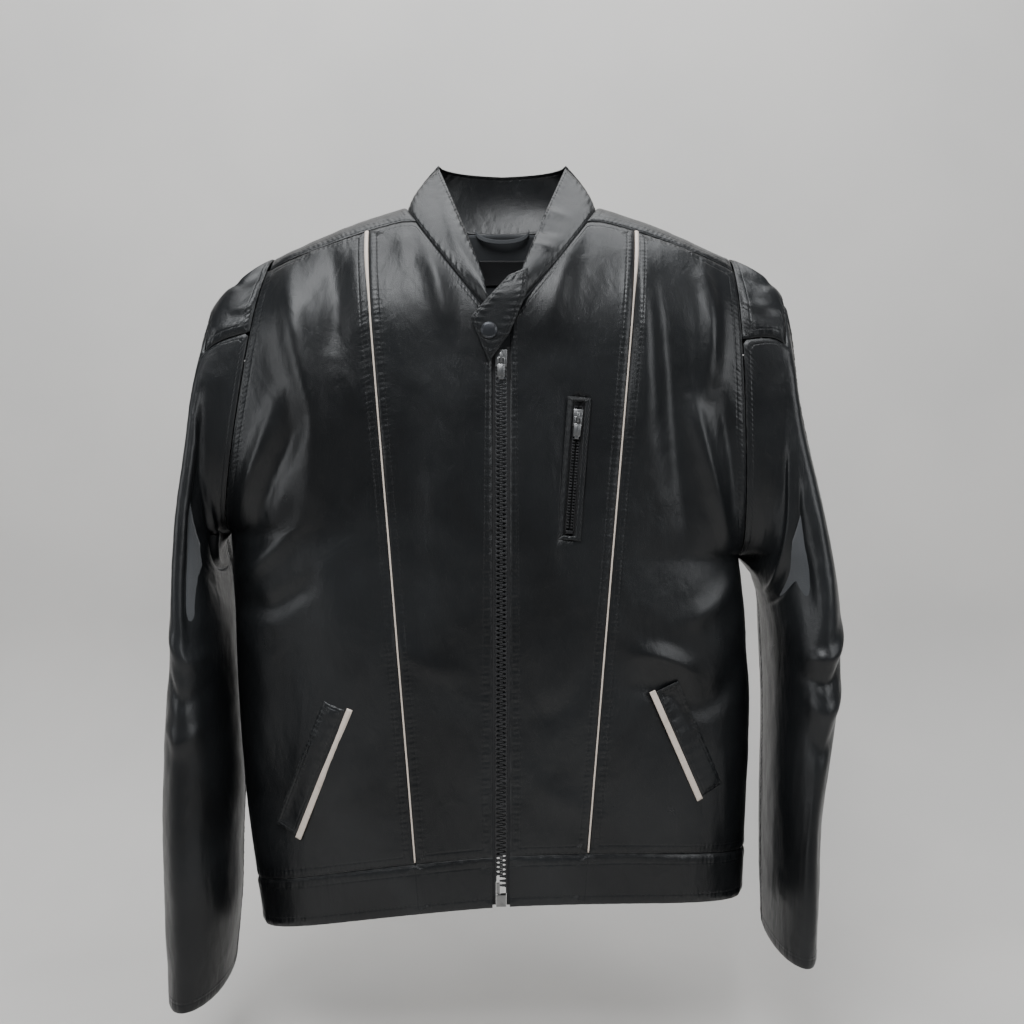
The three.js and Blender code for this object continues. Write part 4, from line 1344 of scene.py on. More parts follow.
@dataclass(frozen=True)
class Shell:
    """The body of the jacket: fronts, sides, back, yokes, hem band, piping and linings."""

    body_lining: float = 13.0
    back_lining: float = 6.0
    cell: float = 3.1

    def grid(self, width: float, height: float) -> tuple[Array, Array]:
        """Grid lines for a panel of a rough size."""
        return spaced(round(width / self.cell), width), spaced(round(height / self.cell), height)

    def build(self, tailor: Tailor) -> None:
        """Makes all of it.

        Args:
            tailor: The shared tailor.
        """
        for side in SIDES:
            self.fronts(tailor, side)
            self.flank(tailor, side)
            self.piping(tailor, side)
            self.shoulder(tailor, side)
        self.back(tailor)

    @staticmethod
    def bend(side: Side) -> tuple:
        """Start and end of a bend from the shoulder's hold to a front's own swing; nothing bends the front.

        Args:
            side: The side it lies on.

        Returns:
            The values asked for.
        """
        return ((side.sign * 100, -45, -30), (side.sign * 62, -45, -100))

    def fronts(self, tailor: Tailor, side: Side) -> None:
        """One front panel with its lining and its piece of hem band.

        Args:
            tailor: The shared tailor.
            side: The side it lies on.
        """
        leather, body = tailor.finishes.leather, side.name + "_front"
        band = lambda x: TORSO.hem_z(side.sign * x) + TORSO.band
        hem = lambda x: TORSO.hem_z(side.sign * x)
        us, vs = self.grid(96, 520)
        name = "front_panel_" + side.name
        pocket = ChestPocket()
        drape = lambda p: tailor.front_drape(p) - (pocket.well(p) if side is LEFT else 0)
        panel = Panel(name, TORSO.front(side, (band, TORSO.front_top)), us, vs, drape)
        rows = ((Edge.U0, 2.2), (Edge.U0, 9.5), (Edge.U1, 8.0), (Edge.V0, 2.0))
        tailor.panel(panel, body, leather, [name], rows, self.bend(side))
        us, vs = self.grid(96, 44)
        name = "hem_band_front_" + side.name
        panel = Panel(name, TORSO.front(side, (hem, band)), us, vs, tailor.front_drape, HEM_CUT)
        tailor.panel(panel, body, leather, [name], ((Edge.V0, 8.5), (Edge.U0, 2.2), (Edge.V1, 2.2)))
        coarse = np.linspace(0.12, 1, 24), np.linspace(0, 1, 60)
        name = "front_lining_" + side.name
        lining = Panel(
            name, TORSO.front(side, (band, TORSO.front_top)), *coarse, None, lining_cut(self.body_lining)
        )
        tailor.panel(lining, body, tailor.finishes.lining, [name], (), self.bend(side))

    def flank(self, tailor: Tailor, side: Side) -> None:
        """One side panel of the front with its lining and hem band.

        Args:
            tailor: The shared tailor.
            side: The side it lies on.
        """
        leather = tailor.finishes.leather
        seam = lambda z: TORSO.turn_of(side, TORSO.princess_x(z) + 0.9, z, Face.FRONT)
        edge = lambda z: np.where(
            z > side.armpit[1],
            TORSO.turn_of(side, TORSO.armhole_x(side, z), z, Face.FRONT),
            TORSO.side_seam,
        )
        band = lambda x: TORSO.hem_z(side.sign * x) + TORSO.band
        hem = lambda x: TORSO.hem_z(side.sign * x)
        yoke = lambda x: TORSO.yoke_z(x) - 0.4
        us, vs = self.grid(150, 540)
        name = "front_side_panel_" + side.name
        grid = TORSO.patch(side, Face.FRONT, (seam, edge), (band, yoke))
        panel = Panel(name, grid, us, vs, tailor.front_drape)
        rows = ((Edge.U0, 8.0), (Edge.U0, 3.4), (Edge.V0, 2.0), (Edge.U1, 3.0))
        tailor.panel(panel, Body.ROOT, leather, [name], rows)
        us, vs = self.grid(150, 44)
        name = "hem_band_side_" + side.name
        inner = lambda z: TORSO.turn_of(side, TORSO.princess_x(z), z, Face.FRONT)
        foot = TORSO.patch(side, Face.FRONT, (inner, lambda z: TORSO.side_seam + 0 * z), (hem, band))
        panel = Panel(name, foot, us, vs, tailor.front_drape, HEM_CUT)
        tailor.panel(panel, Body.ROOT, leather, [name], ((Edge.V0, 8.5), (Edge.V1, 2.2)))
        name = "side_lining_" + side.name
        coarse = np.linspace(0, 1, 34), np.linspace(0, 1, 60)
        lining = Panel(name, grid, *coarse, None, lining_cut(self.body_lining))
        tailor.panel(lining, Body.ROOT, tailor.finishes.lining, [name])

    def piping(self, tailor: Tailor, side: Side) -> None:
        """The cream piping that stands up from the front's seam.

        Args:
            tailor: The shared tailor.
            side: The side it lies on.
        """
        seam = lambda z: TORSO.turn_of(side, TORSO.princess_x(z) - 0.5, z, Face.FRONT)
        far = lambda z: TORSO.turn_of(
            side, TORSO.princess_x(z) + 0.9 + 2.1 * smoothstep(z, -110, -50), z, Face.FRONT
        )
        lines = (lambda x: TORSO.hem_z(side.sign * x) + TORSO.band + 2, lambda x: TORSO.yoke_z(x) - 1)
        name = "princess_piping_" + side.name
        us, vs = np.linspace(0, 1, 7), np.linspace(0, 1, 190)
        crown = lambda p: tailor.front_drape(p) + 0.35 * np.sin(np.pi * us)[:, None]
        cut = Cut(
            thick=1.4, roll=0.5, roll_width=0.8, groove=0.02, pucker=0.0, top=-0.35, sewn=(Edge.U0, Edge.U1)
        )
        panel = Panel(name, TORSO.patch(side, Face.FRONT, (seam, far), lines), us, vs, crown, cut)
        tailor.panel(panel, Body.ROOT, tailor.finishes.piping, [name])

    def shoulder(self, tailor: Tailor, side: Side) -> None:
        """The strip over one shoulder.

        Args:
            tailor: The shared tailor.
            side: The side it lies on.
        """

        def point(u: Array, v: Array) -> Array:
            """Points of the surface for shares u and v."""
            w = 2 * v - 1
            low = TORSO.yoke_drop[Face.FRONT] * np.clip(-w, 0, 1) ** TORSO.roundness
            neck = 1 - (low / TORSO.neck_drop[Face.FRONT]) ** (1 / 0.9)
            x = lerp(TORSO.neck_half * neck - 1.2, TORSO.tip[0], u)
            sides = []
            for face in (Face.FRONT, Face.BACK):
                drop = TORSO.ridge_z(x) - TORSO.yoke_z(x, face)
                sides.append(TORSO.on(side, x, TORSO.ridge_z(x) - drop * np.abs(w) ** TORSO.roundness, face))
            return np.where((w < 0)[..., None], *sides)

        us, vs = self.grid(125, 70)
        name = "shoulder_yoke_" + side.name
        panel = Panel(name, point, us, vs, tailor.front_drape, Cut(pucker=0.15))
        rows = ((Edge.V0, 2.4), (Edge.V1, 2.4))
        tailor.panel(panel, Body.ROOT, tailor.finishes.leather, [name], rows)

    def back(self, tailor: Tailor) -> None:
        """The back: centre, sides, yoke, hem band and lining.

        Args:
            tailor: The shared tailor.
        """
        leather = tailor.finishes.leather

        def halves(make: Callable[[Side], Grid]) -> Grid:
            """A patch across the whole back from a patch for each half."""

            def point(u: Array, v: Array) -> Array:
                """Points of the surface for shares u and v."""
                share = np.abs(2 * u - 1)
                return np.where((u < 0.5)[..., None], make(RIGHT)(share, v), make(LEFT)(share, v))

            return point

        middle = lambda z: 0 * z
        seam = lambda side: lambda z: TORSO.turn_of(side, TORSO.back_seam, z, Face.BACK)
        band = lambda side: lambda x: TORSO.hem_z(side.sign * x) + TORSO.band
        hem = lambda side: lambda x: TORSO.hem_z(side.sign * x)
        yoke = lambda x: TORSO.back_yoke + 0 * x

        def armhole(side: Side) -> Callable[[Array], Array]:
            """Share of the quarter turn at the armhole or side seam."""
            return lambda z: np.where(
                z > side.armpit[1],
                TORSO.turn_of(side, TORSO.armhole_x(side, z), z, Face.BACK),
                TORSO.side_seam,
            )

        us, vs = self.grid(190, 440)
        centre = halves(lambda side: TORSO.patch(side, Face.BACK, (middle, seam(side)), (band(side), yoke)))
        rows = ((Edge.U0, 3.0), (Edge.U1, 3.0))
        panel = Panel("back_panel", centre, us, vs, tailor.back_drape)
        tailor.panel(panel, Body.ROOT, leather, ["back_panel"], rows)
        coarse = np.linspace(0, 1, 40), np.linspace(0, 1, 70)
        lining = Panel("back_lining", centre, *coarse, None, lining_cut(self.back_lining))
        tailor.panel(lining, Body.ROOT, tailor.finishes.lining, ["back_lining"])
        for side in SIDES:
            us, vs = self.grid(150, 450)
            name = "back_side_panel_" + side.name
            grid = TORSO.patch(side, Face.BACK, (seam(side), armhole(side)), (band(side), yoke))
            panel = Panel(name, grid, us, vs, tailor.back_drape)
            tailor.panel(panel, Body.ROOT, leather, [name], ((Edge.U0, 3.0), (Edge.U1, 3.0)))
        top = lambda x: np.where(
            x < TORSO.neck_half,
            TORSO.neck_z(x, Face.BACK) - 0.3 - TORSO.yoke_drop[Face.BACK] * np.clip(
                x / TORSO.neck_half, 0, 1
            ) ** 8,
            TORSO.yoke_z(x, Face.BACK) - 0.6,
        )
        us, vs = self.grid(470, 135)
        whole = halves(lambda side: TORSO.patch(side, Face.BACK, (middle, armhole(side)), (yoke, top)))
        rows = ((Edge.V0, 3.0), (Edge.V0, 8.0), (Edge.U0, 3.0), (Edge.U1, 3.0))
        panel = Panel("back_yoke", whole, us, vs, tailor.back_drape)
        tailor.panel(panel, Body.ROOT, leather, ["back_yoke"], rows, rests=("neck_facing",))
        us, vs = self.grid(520, 44)
        full = lambda z: TORSO.side_seam + 0 * z
        foot = halves(lambda side: TORSO.patch(side, Face.BACK, (middle, full), (hem(side), band(side))))
        panel = Panel("hem_band_back", foot, us, vs, tailor.back_drape, HEM_CUT)
        tailor.panel(panel, Body.ROOT, leather, ["hem_band_back"], ((Edge.V0, 8.5), (Edge.V1, 2.2)))


@dataclass(frozen=True)
class Collar:
    """The standing collar, its tab and the snap, and what is sewn inside the neck."""

    thick: float = 3.6
    front: Triple = (14, -71, -82)
    side: Triple = (62, 8, 47)
    back_y: float = 38
    bulge: float = 5
    join: float = 0.97
    tab: tuple[tuple[float, float], ...] = (
        (-27, -117), (-10.5, -156), (7, -132), (22, -97), (24, -72), (6, -80)
    )
    snap: tuple[float, float, float] = (-10.5, -129, 7.4)

    def lean(self, low: Array, high: Array, w: Array) -> Array:
        """Mix of the neckline and the top edge, rounded outward."""
        p = lerp(low, high, w[..., None])
        out = p * np.array([1.0, 1.0, 0.0]) + np.array([0.0, 20.0, 0.0])
        return p + unit(out) * (self.bulge * np.sin(np.pi * w))[..., None]

    def half(self, side: Side) -> Grid:
        """One front half of the collar.

        Args:
            side: The side it lies on.

        Returns:
            The panel as a function of u and v.
        """

        def point(u: Array, v: Array) -> Array:
            """Points of the surface for shares u and v."""
            t = u * self.join
            x = lerp(TORSO.placket - 1.5, TORSO.neck_half, t)
            low = TORSO.on(side, x, TORSO.neck_z(x, Face.FRONT), Face.FRONT)
            top = [
                side.sign * lerp(self.front[0], self.side[0], t),
                lerp(self.front[1], self.side[1], t**1.15),
                lerp(self.front[2], self.side[2], t**0.95),
            ]
            return self.lean(low, np.stack(top, -1), v)

        return point

    def back(self, u: Array, v: Array) -> Array:
        """The collar round the back of the neck.

        Args:
            u: Shares across.
            v: Shares along.

        Returns:
            The values asked for.
        """
        r = lerp(self.join, 0, np.abs(2 * u - 1)) + 1 - self.join
        sign = np.where(u < 0.5, -1, 1)
        turn = r * np.pi / 2
        x = TORSO.neck_half * np.cos(turn)
        low = TORSO.on(LEFT, x, TORSO.neck_z(x, Face.BACK), Face.BACK)
        low[..., 0] *= sign
        y = lerp(self.side[1], self.back_y, np.sin(turn))
        top = np.stack([sign * self.side[0] * np.cos(turn), y, self.side[2] - 3 * r], -1)
        return self.lean(low, top, v)

    def build(self, tailor: Tailor) -> None:
        """Makes the collar, the tab and the pieces inside the neck.

        Args:
            tailor: The shared tailor.
        """
        leather = tailor.finishes.collar
        cut = Cut(thick=self.thick, roll=1.3, roll_width=2.6, groove=0.4, pucker=0.3, pucker_step=9)
        creases = {
            "left": Drape(
                (
                    Fold(((12, -60), (26, -48), (44, -50)), 4, 2.2), Fold(
                        ((16, -42), (32, -30), (52, -34)), 4, -2.0
                    ),
                    Fold(((24, -24), (40, -12), (60, -16)), 5, 1.8),
                ), swell=0.5, ripple=0.1, seed=31,
            ),
            "right": Drape(
                (Fold(((-30, -60), (-44, -30), (-52, 10)), 7, 1.6),), swell=0.5, ripple=0.1, seed=33
            ),
        }
        for side in SIDES:
            name = "collar_front_" + side.name
            us, vs = spaced(60, 190), spaced(26, 60)
            drape = creases[side.name]
            panel = Panel(name, self.half(side), us, vs, lambda p: drape.at(p[..., 0], p[..., 2]), cut)
            rows = ((Edge.V1, 3.4), (Edge.U0, 3.4), (Edge.V0, 3.4))
            tailor.panel(panel, side.name + "_front", leather, [name], rows, Shell.bend(side))
        panel = Panel("collar_back", self.back, spaced(76, 240), spaced(24, 60), None, cut)
        tailor.panel(panel, Body.ROOT, leather, ["collar_back"], ((Edge.V1, 3.4), (Edge.V0, 3.4)))
        self.flap(tailor)
        self.inside(tailor)

    def flap(self, tailor: Tailor) -> None:
        """The pointed tab, cushioned and stitched round its rim.

        Args:
            tailor: The shared tailor.
        """
        outline = np.array(self.tab)
        root, point = outline[[4, 5]], outline[[0, 1]]
        steps = 44
        t = np.linspace(0, 1, steps)
        upper = self.path([root[1], point[0], point[1]], t)
        lower = self.path([root[0], outline[3], outline[2], point[1]], t)

        def point_at(u: Array, v: Array) -> Array:
            rows = []
            for k in (0, 1):
                a = np.interp(u, t, upper[:, k])
                b = np.interp(u, t, lower[:, k])
                rows.append(lerp(a, b, v))
            y = -79 - 2.6 - 0.8 * np.sin(np.pi * u) + 2.6 * (1 - smoothstep(u, 0, 0.3))
            return np.stack([rows[0], y, rows[1]], -1)

        cut = Cut(thick=2.6, roll=1.0, roll_width=2.2, groove=0.1, pucker=0.25, pucker_step=7)
        us, vs = np.linspace(0, 0.992, 46), spaced(22, 34)
        panel = Panel("collar_tab", point_at, us, vs, None, cut)
        rows = ((Edge.V0, 3.2), (Edge.V1, 3.2))
        tailor.panel(
            panel, Body.TAB, tailor.finishes.collar, ["collar_tab"], rows, rests=("collar_front_left",)
        )

    @staticmethod
    def path(points: Sequence[Array], t: Array) -> Array:
        """Points along a chain of straight lines, evenly by length.

        Args:
            points: The chain's corners.
            t: Shares of its length.

        Returns:
            The points.
        """
        p = np.array(points)
        length = np.concatenate([[0], np.cumsum(np.linalg.norm(np.diff(p, axis=0), axis=1))])
        return np.stack([np.interp(t * length[-1], length, p[:, k]) for k in (0, 1)], -1)

    def inside(self, tailor: Tailor) -> None:
        """The facing, the blank label and the loop inside the neck.

        Args:
            tailor: The shared tailor.
        """

        def patch(half: float, low: float, high: float, deep: float) -> Grid:
            """A patch inside the back of the neck."""

            def point(u: Array, v: Array) -> Array:
                """Points of the surface for shares u and v."""
                x = lerp(-half, half, u)
                p = TORSO.on(LEFT, np.abs(x), lerp(low, high, v), Face.BACK)
                return np.stack([x, p[..., 1] - deep, p[..., 2]], -1)

            return point

        cut = Cut(thick=0.7, roll=0.0, pucker=0.0, groove=0.2)
        facing = Panel(
            "neck_facing", patch(64, -84, -15, 3.4), np.linspace(0, 1, 40), np.linspace(0, 1, 24), None, cut
        )
        tailor.panel(facing, Body.ROOT, tailor.finishes.lining, ["neck_facing"], rests=("back_yoke",))
        label = Panel(
            "neck_label", patch(23, -62, -38, 4.8), np.linspace(0, 1, 30), np.linspace(0, 1, 16), None, cut
        )
        tailor.panel(label, Body.ROOT, tailor.finishes.label, ["neck_label"], rests=("neck_facing",))

        def loop(u: Array, v: Array) -> Array:
            turn = u * np.pi
            radius = 1 + 0 * v
            x = -26 * np.cos(turn)
            z = -11 - 12 * np.sin(turn) ** 0.8 + (v - 0.5) * 4.5
            return np.stack([x, 28.8 - 1.4 * np.sin(turn) * radius, z], -1)

        strap = Panel("hang_loop", loop, np.linspace(0, 1, 40), np.linspace(0, 1, 6), None, cut)
        tailor.panel(strap, Body.ROOT, tailor.finishes.lining, ["hang_loop"], rests=("collar_back",))


@dataclass(frozen=True)
class Arms:
    """Both sleeves with their shoulder caps and linings."""

    length: float = 620

    @staticmethod
    def bend(side: Side) -> tuple:
        """Start and end of a bend from the armhole's hold to a sleeve's own swing; nothing bends the sleeve.

        Args:
            side: The side it lies on.

        Returns:
            The values asked for.
        """
        return ((side.sign * 243, 0, -285), (side.sign * 288, 0, -440))

    def build(self, tailor: Tailor) -> None:
        """Makes the sleeves.

        Args:
            tailor: The shared tailor.
        """
        for side in SIDES:
            drape = SLEEVE_DRAPES[side.name]
            body = side.name + "_sleeve"
            for half, first, last in (("front", 25, 205), ("back", 205, 385)):
                self.half(tailor, side, body, half, first, last, drape)
            self.cap(tailor, side, body)
            self.lining(tailor, side, body)

    def half(
        self, tailor: Tailor, side: Side, body: str, half: str, first: float, last: float, drape: Drape
    ) -> None:
        """One of a sleeve's two panels."""

        def point(u: Array, v: Array) -> Array:
            """Points of the surface for shares u and v."""
            degrees = lerp(first, last, u)
            edge = SLEEVE.cap_edge(degrees)
            return SLEEVE.tube(side, degrees, lerp(edge + 0.002, 1, v))

        us, vs = spaced(68, 200), spaced(200, self.length)
        u, v = np.meshgrid(us, vs, indexing="ij")
        degrees = lerp(first, last, u)
        s = lerp(SLEEVE.cap_edge(degrees) + 0.002, 1, v)
        heights = drape.at(degrees * SLEEVE_SCALE[0], s * SLEEVE_SCALE[1])
        heights *= 0.25 + 0.75 * smoothstep(s, 0.02, 0.16)
        name = f"sleeve_{half}_{side.name}"
        cut = Cut(roll=1.0, groove=0.5)
        panel = Panel(name, point, us, vs, lambda p: heights, cut, (side.sign * 272, -10))
        rows = (
            (Edge.U0 if half == "front" else Edge.U1, 3.0),
            (Edge.V1, 10.5),
            (Edge.U1 if half == "front" else Edge.U0, 3.0)
        )
        tailor.panel(panel, body, tailor.finishes.leather, [name], rows, self.bend(side))

    def cap(self, tailor: Tailor, side: Side, body: str) -> None:
        """The shoulder cap at the head of a sleeve."""
        tight, wide = SLEEVE.cap_angles

        def point(u: Array, v: Array) -> Array:
            """Points of the surface for shares u and v."""
            degrees = (2 * u - 1) * lerp(wide, tight, v) + 360
            return SLEEVE.tube(side, degrees % 360, v * SLEEVE.cap)

        name = "shoulder_cap_" + side.name
        us, vs = spaced(60, 150), spaced(26, 80)
        drape = Drape(
            (
                Fold(
                    ((210, -80), (226, -100), (250, -104)), 5, 1.8
                ), Fold(((214, -66), (236, -78), (256, -74)), 5, -1.6),
                Fold(((220, -110), (238, -120), (262, -122)), 5, 1.4),
            ), swell=0.6, ripple=0.12, seed=41,
        )
        panel = Panel(
            name,
            point,
            us,
            vs,
            lambda p: drape.at(np.abs(p[..., 0]), p[..., 2]),
            Cut(pucker=0.35, pucker_step=9),
            (side.sign * 205, 0)
        )
        rows = ((Edge.V1, 3.0), (Edge.U0, 3.0), (Edge.U1, 3.0), (Edge.V0, 3.0))
        tailor.panel(panel, body, tailor.finishes.leather, [name], rows, self.bend(side))

    def lining(self, tailor: Tailor, side: Side, body: str) -> None:
        """The lining inside a sleeve, a closed tube of cloth."""

        def point(u: Array, v: Array) -> Array:
            """Points of the surface for shares u and v."""
            s = lerp(0.3, 0.965, v)
            here = SLEEVE.tube(side, u * 360, s)
            centre = (SLEEVE.tube(side, 0 * u, s) + SLEEVE.tube(side, 180 + 0 * u, s)) / 2
            inward = centre - here
            return here + unit(inward) * np.minimum(5.5, 0.3 * np.linalg.norm(inward, axis=-1))[..., None]

        name = "sleeve_lining_" + side.name
        us, vs = np.linspace(0.001, 0.999, 70), np.linspace(0, 1, 60)
        cut = Cut(thick=0.7, roll=0.0, pucker=0.0, groove=0.0)
        panel = Panel(name, point, us, vs, None, cut, (side.sign * 272, -10))
        cuff = "sleeve_front_" + side.name
        tailor.panel(panel, body, tailor.finishes.lining, [name], (), self.bend(side), rests=(cuff,))


# ---------- Hardware ----------
class Smith:
    """Makes hard pieces from primitives, in place and with their bevels applied."""

    @staticmethod
    def only(obj: bpy.types.Object) -> None:
        """Selects one object and nothing else."""
        bpy.ops.object.select_all(action="DESELECT")
        obj.select_set(True)
        bpy.context.view_layer.objects.active = obj

    @classmethod
    def settle(cls, obj: bpy.types.Object, bevel: float, segments: int = 2) -> bpy.types.Object:
        """Applies the object's place and size, then a bevel.

        Args:
            obj: The object.
            bevel: Width of the bevel in millimetres, or 0.
            segments: The bevel's steps.

        Returns:
            The object.
        """
        cls.only(obj)
        bpy.ops.object.transform_apply(location=True, rotation=True, scale=True)
        if bevel:
            modifier = obj.modifiers.new("bevel", "BEVEL")
            modifier.width, modifier.segments, modifier.limit_method = bevel * MM, segments, "ANGLE"
            bpy.ops.object.modifier_apply(modifier=modifier.name)
        bpy.ops.object.shade_smooth_by_angle(angle=math.radians(40))
        return obj

    @classmethod
    def box(cls, low: Triple, high: Triple, bevel: float = 0.3) -> bpy.types.Object:
        """A bevelled box between two corners."""
        middle = [(a + b) / 2 * MM for a, b in zip(low, high)]
        bpy.ops.mesh.primitive_cube_add(size=1, location=middle)
        obj = bpy.context.object
        obj.scale = [(b - a) * MM for a, b in zip(low, high)]
        return cls.settle(obj, bevel)

    @classmethod
    def disc(
        cls, middle: Triple, radius: float, thick: float, bevel: float, sides: int = 40
    ) -> bpy.types.Object:
        """A bevelled disc that faces along Y."""
        bpy.ops.mesh.primitive_cylinder_add(
            vertices=sides, radius=radius * MM, depth=thick * MM,
            location=[c * MM for c in middle], rotation=(math.pi / 2, 0, 0),
        )
        return cls.settle(bpy.context.object, bevel, 3)

    @classmethod
    def ring(cls, middle: Triple, radius: float, wire: float, tall: float = 1.0) -> bpy.types.Object:
        """A ring of wire that faces along Y, stretched in Z."""
        bpy.ops.mesh.primitive_torus_add(
            major_radius=radius * MM, minor_radius=wire * MM, major_segments=36, minor_segments=10,
            location=[c * MM for c in middle], rotation=(math.pi / 2, 0, 0),
        )
        bpy.context.object.scale = (1, tall, 1)
        return cls.settle(bpy.context.object, 0)

    @classmethod
    def repeat(cls, obj: bpy.types.Object, count: int, step: Triple) -> bpy.types.Object:
        """Repeats a piece in a row."""
        cls.only(obj)
        modifier = obj.modifiers.new("row", "ARRAY")
        modifier.use_relative_offset, modifier.use_constant_offset = False, True
        modifier.count, modifier.constant_offset_displace = count, [c * MM for c in step]
        bpy.ops.object.modifier_apply(modifier=modifier.name)
        return obj

    @classmethod
    def join(
        cls, name: str, parts: Sequence[bpy.types.Object], material: bpy.types.Material
    ) -> bpy.types.Object:
        """Joins pieces into one named object of one material."""
        bpy.ops.object.select_all(action="DESELECT")
        for part in parts:
            part.select_set(True)
        bpy.context.view_layer.objects.active = parts[0]
        if len(parts) > 1:
            bpy.ops.object.join()
        obj = bpy.context.object
        bpy.ops.object.transform_apply(location=True, rotation=True, scale=True)
        obj.name = obj.data.name = "look_" + name
        obj.data.materials.clear()
        obj.data.materials.append(material)
        return obj

    @classmethod
    def tilt(cls, obj: bpy.types.Object, degrees: float, centre: Triple) -> bpy.types.Object:
        """Turns a piece about Y round a centre, in place."""
        cls.only(obj)
        bpy.ops.transform.rotate(
            value=-math.radians(degrees), orient_axis="Y", center_override=[c * MM for c in centre]
        )
        bpy.ops.object.transform_apply(location=True, rotation=True, scale=True)
        return obj


@dataclass(frozen=True)
class MainZip:
    """The front zip with its slider, pull, box and pin."""

    top: float = -150
    bottom: float = -632
    pitch: float = 4
    y: float = -72.35

    def build(self, tailor: Tailor) -> None:
        """Makes it.

        Args:
            tailor: The shared tailor.
        """
        for side in SIDES:
            self.row(tailor, side)
            self.tape(tailor, side)
        metal = tailor.finishes.metal
        z = self.top - 2
        self.slider(tailor, "main_slider", Body.SLIDER, self.y, z, 0.0, 5.2, 0.0, (0, 0, 0))
        pull = pull_tag("main_pull", self.y - 4.05, z, 19, 7, metal)
        tailor.hang(pull, Body.PULL)
        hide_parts("main_pull")
        for name in ("retainer_box", "insertion_pin"):
            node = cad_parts[name]
            node.data.materials.clear()
            node.data.materials.append(metal)
            bevel = node.modifiers.new("bevel", "BEVEL")
            bevel.width, bevel.segments = 0.35 * MM, 2

    def row(self, tailor: Tailor, side: Side) -> None:
        """One row of moulded teeth."""
        foot = 10.4 if side is LEFT else 20.4
        shift = 0 if side is LEFT else self.pitch / 2
        high = self.top - 1.2 - shift
        count = int((high - self.bottom - foot) / self.pitch)
        s = side.sign
        shank = Smith.box(*self.span(s * 4.3, s * 0.7, high, 1.7, 2.5), 0.35)
        head = Smith.box(*self.span(s * 1.3, -s * 1.5, high, 1.45, 2.0), 0.45)
        foot_block = Smith.box(*self.span(s * 4.9, s * 3.2, high, 2.7, 2.9), 0.5)
        row = Smith.join("zip_teeth_" + side.name, [shank, head, foot_block], tailor.finishes.teeth)
        Smith.repeat(row, count, (0, 0, -self.pitch))
        cord = Smith.box(
            *self.span(s * 5.3, s * 4.1, (high + self.bottom + foot) / 2, high - self.bottom - foot, 1.9),
            0.4
        )
        row = Smith.join("zip_teeth_" + side.name, [row, cord], tailor.finishes.teeth)
        tailor.hang(row, side.name + "_front")
        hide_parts("zip_teeth_" + side.name)

    def span(self, x0: float, x1: float, z: float, tall: float, thick: float) -> tuple[Triple, Triple]:
        """Corners of a box from its ends in X and its middle height."""
        low = (min(x0, x1), self.y - thick / 2, z - tall / 2)
        return low, (max(x0, x1), self.y + thick / 2, z + tall / 2)

    def tape(self, tailor: Tailor, side: Side) -> None:
        """The woven tape beside a row of teeth."""

        def point(u: Array, v: Array) -> Array:
            """Points of the surface for shares u and v."""
            x = side.sign * lerp(4.7, 16.5, u)
            return np.stack([x, self.y - 0.4 + 0 * u, lerp(self.bottom, -142, v)], -1)

        name = "zip_tape_" + side.name
        cut = Cut(thick=0.8, roll=0.0, pucker=0.0, groove=0.0)
        panel = Panel(name, point, np.linspace(0, 1, 8), np.linspace(0, 1, 160), None, cut)
        front = "front_panel_" + side.name
        tailor.panel(panel, side.name + "_front", tailor.finishes.tape, [name], rests=(front,))

    @staticmethod
    def slider(
        tailor: Tailor, name: str, body: Body, y: float, z: float, x: float, half: float, degrees: float, pivot: Triple
    ) -> None:
        """A slider: two shield-shaped plates, side flanges, a nose and the bridge for the pull."""
        front, back = y - 2.4, y + 2.4
        parts = [
            Smith.box((x - half, front - 0.55, z - 7.5), (x + half, front + 0.55, z + 7.5), 0.5),
            Smith.box((x - half, back - 0.55, z - 7.5), (x + half, back + 0.55, z + 7.5), 0.5),
            Smith.box((x - half + 0.1, front, z - 7.2), (x - half + 0.85, y - 0.9, z + 5), 0.2),
            Smith.box((x + half - 0.85, front, z - 7.2), (x + half - 0.1, y - 0.9, z + 5), 0.2),
            Smith.box((x - 0.7, front, z + 3), (x + 0.7, back, z + 6.5), 0.2),
            Smith.box((x - 1.15, front - 3.3, z - 4.4), (x + 1.15, front - 2.3, z + 4.4), 0.4),
            Smith.box((x - 1.15, front - 3.2, z + 3.1), (x + 1.15, front - 0.2, z + 4.4), 0.35),
            Smith.box((x - 1.15, front - 3.2, z - 4.4), (x + 1.15, front - 0.2, z - 3.1), 0.35),
        ]
        obj = Smith.join(name, parts, tailor.finishes.metal)
        if degrees:
            Smith.tilt(obj, degrees, pivot)
        tailor.hang(obj, body)
        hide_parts(name)


def pull_tag(
    name: str, y: float, z: float, length: float, width: float, metal: bpy.types.Material
) -> bpy.types.Object:
    """A zip's pull: a bar, two arms and a tapered tag with a raised rim.

    Args:
        name: Its name.
        y: Its depth.
        z: Height of its bar.
        length: From the bar to its tip.
        width: Across the tag.
        metal: Its material.

    Returns:
        The object.
    """
    half = width / 2
    parts = [
        Smith.box((-half, y - 0.6, z - 0.7), (half, y + 0.6, z + 0.7), 0.4),
        Smith.box((-half, y - 0.6, z - 6), (-half + 1.3, y + 0.6, z), 0.4),
        Smith.box((half - 1.3, y - 0.6, z - 6), (half, y + 0.6, z), 0.4),
        Smith.box((-half, y - 0.6, z - length + 2.2), (half, y + 0.6, z - 5.4), 0.5),
        Smith.box((-half + 1.3, y - 0.6, z - length), (half - 1.3, y + 0.6, z - length + 4), 0.5),
        Smith.box((-half + 1.4, y - 0.8, z - length + 3), (half - 1.4, y + 0.8, z - 7), 0.25),
    ]
    return Smith.join(name, parts, metal)


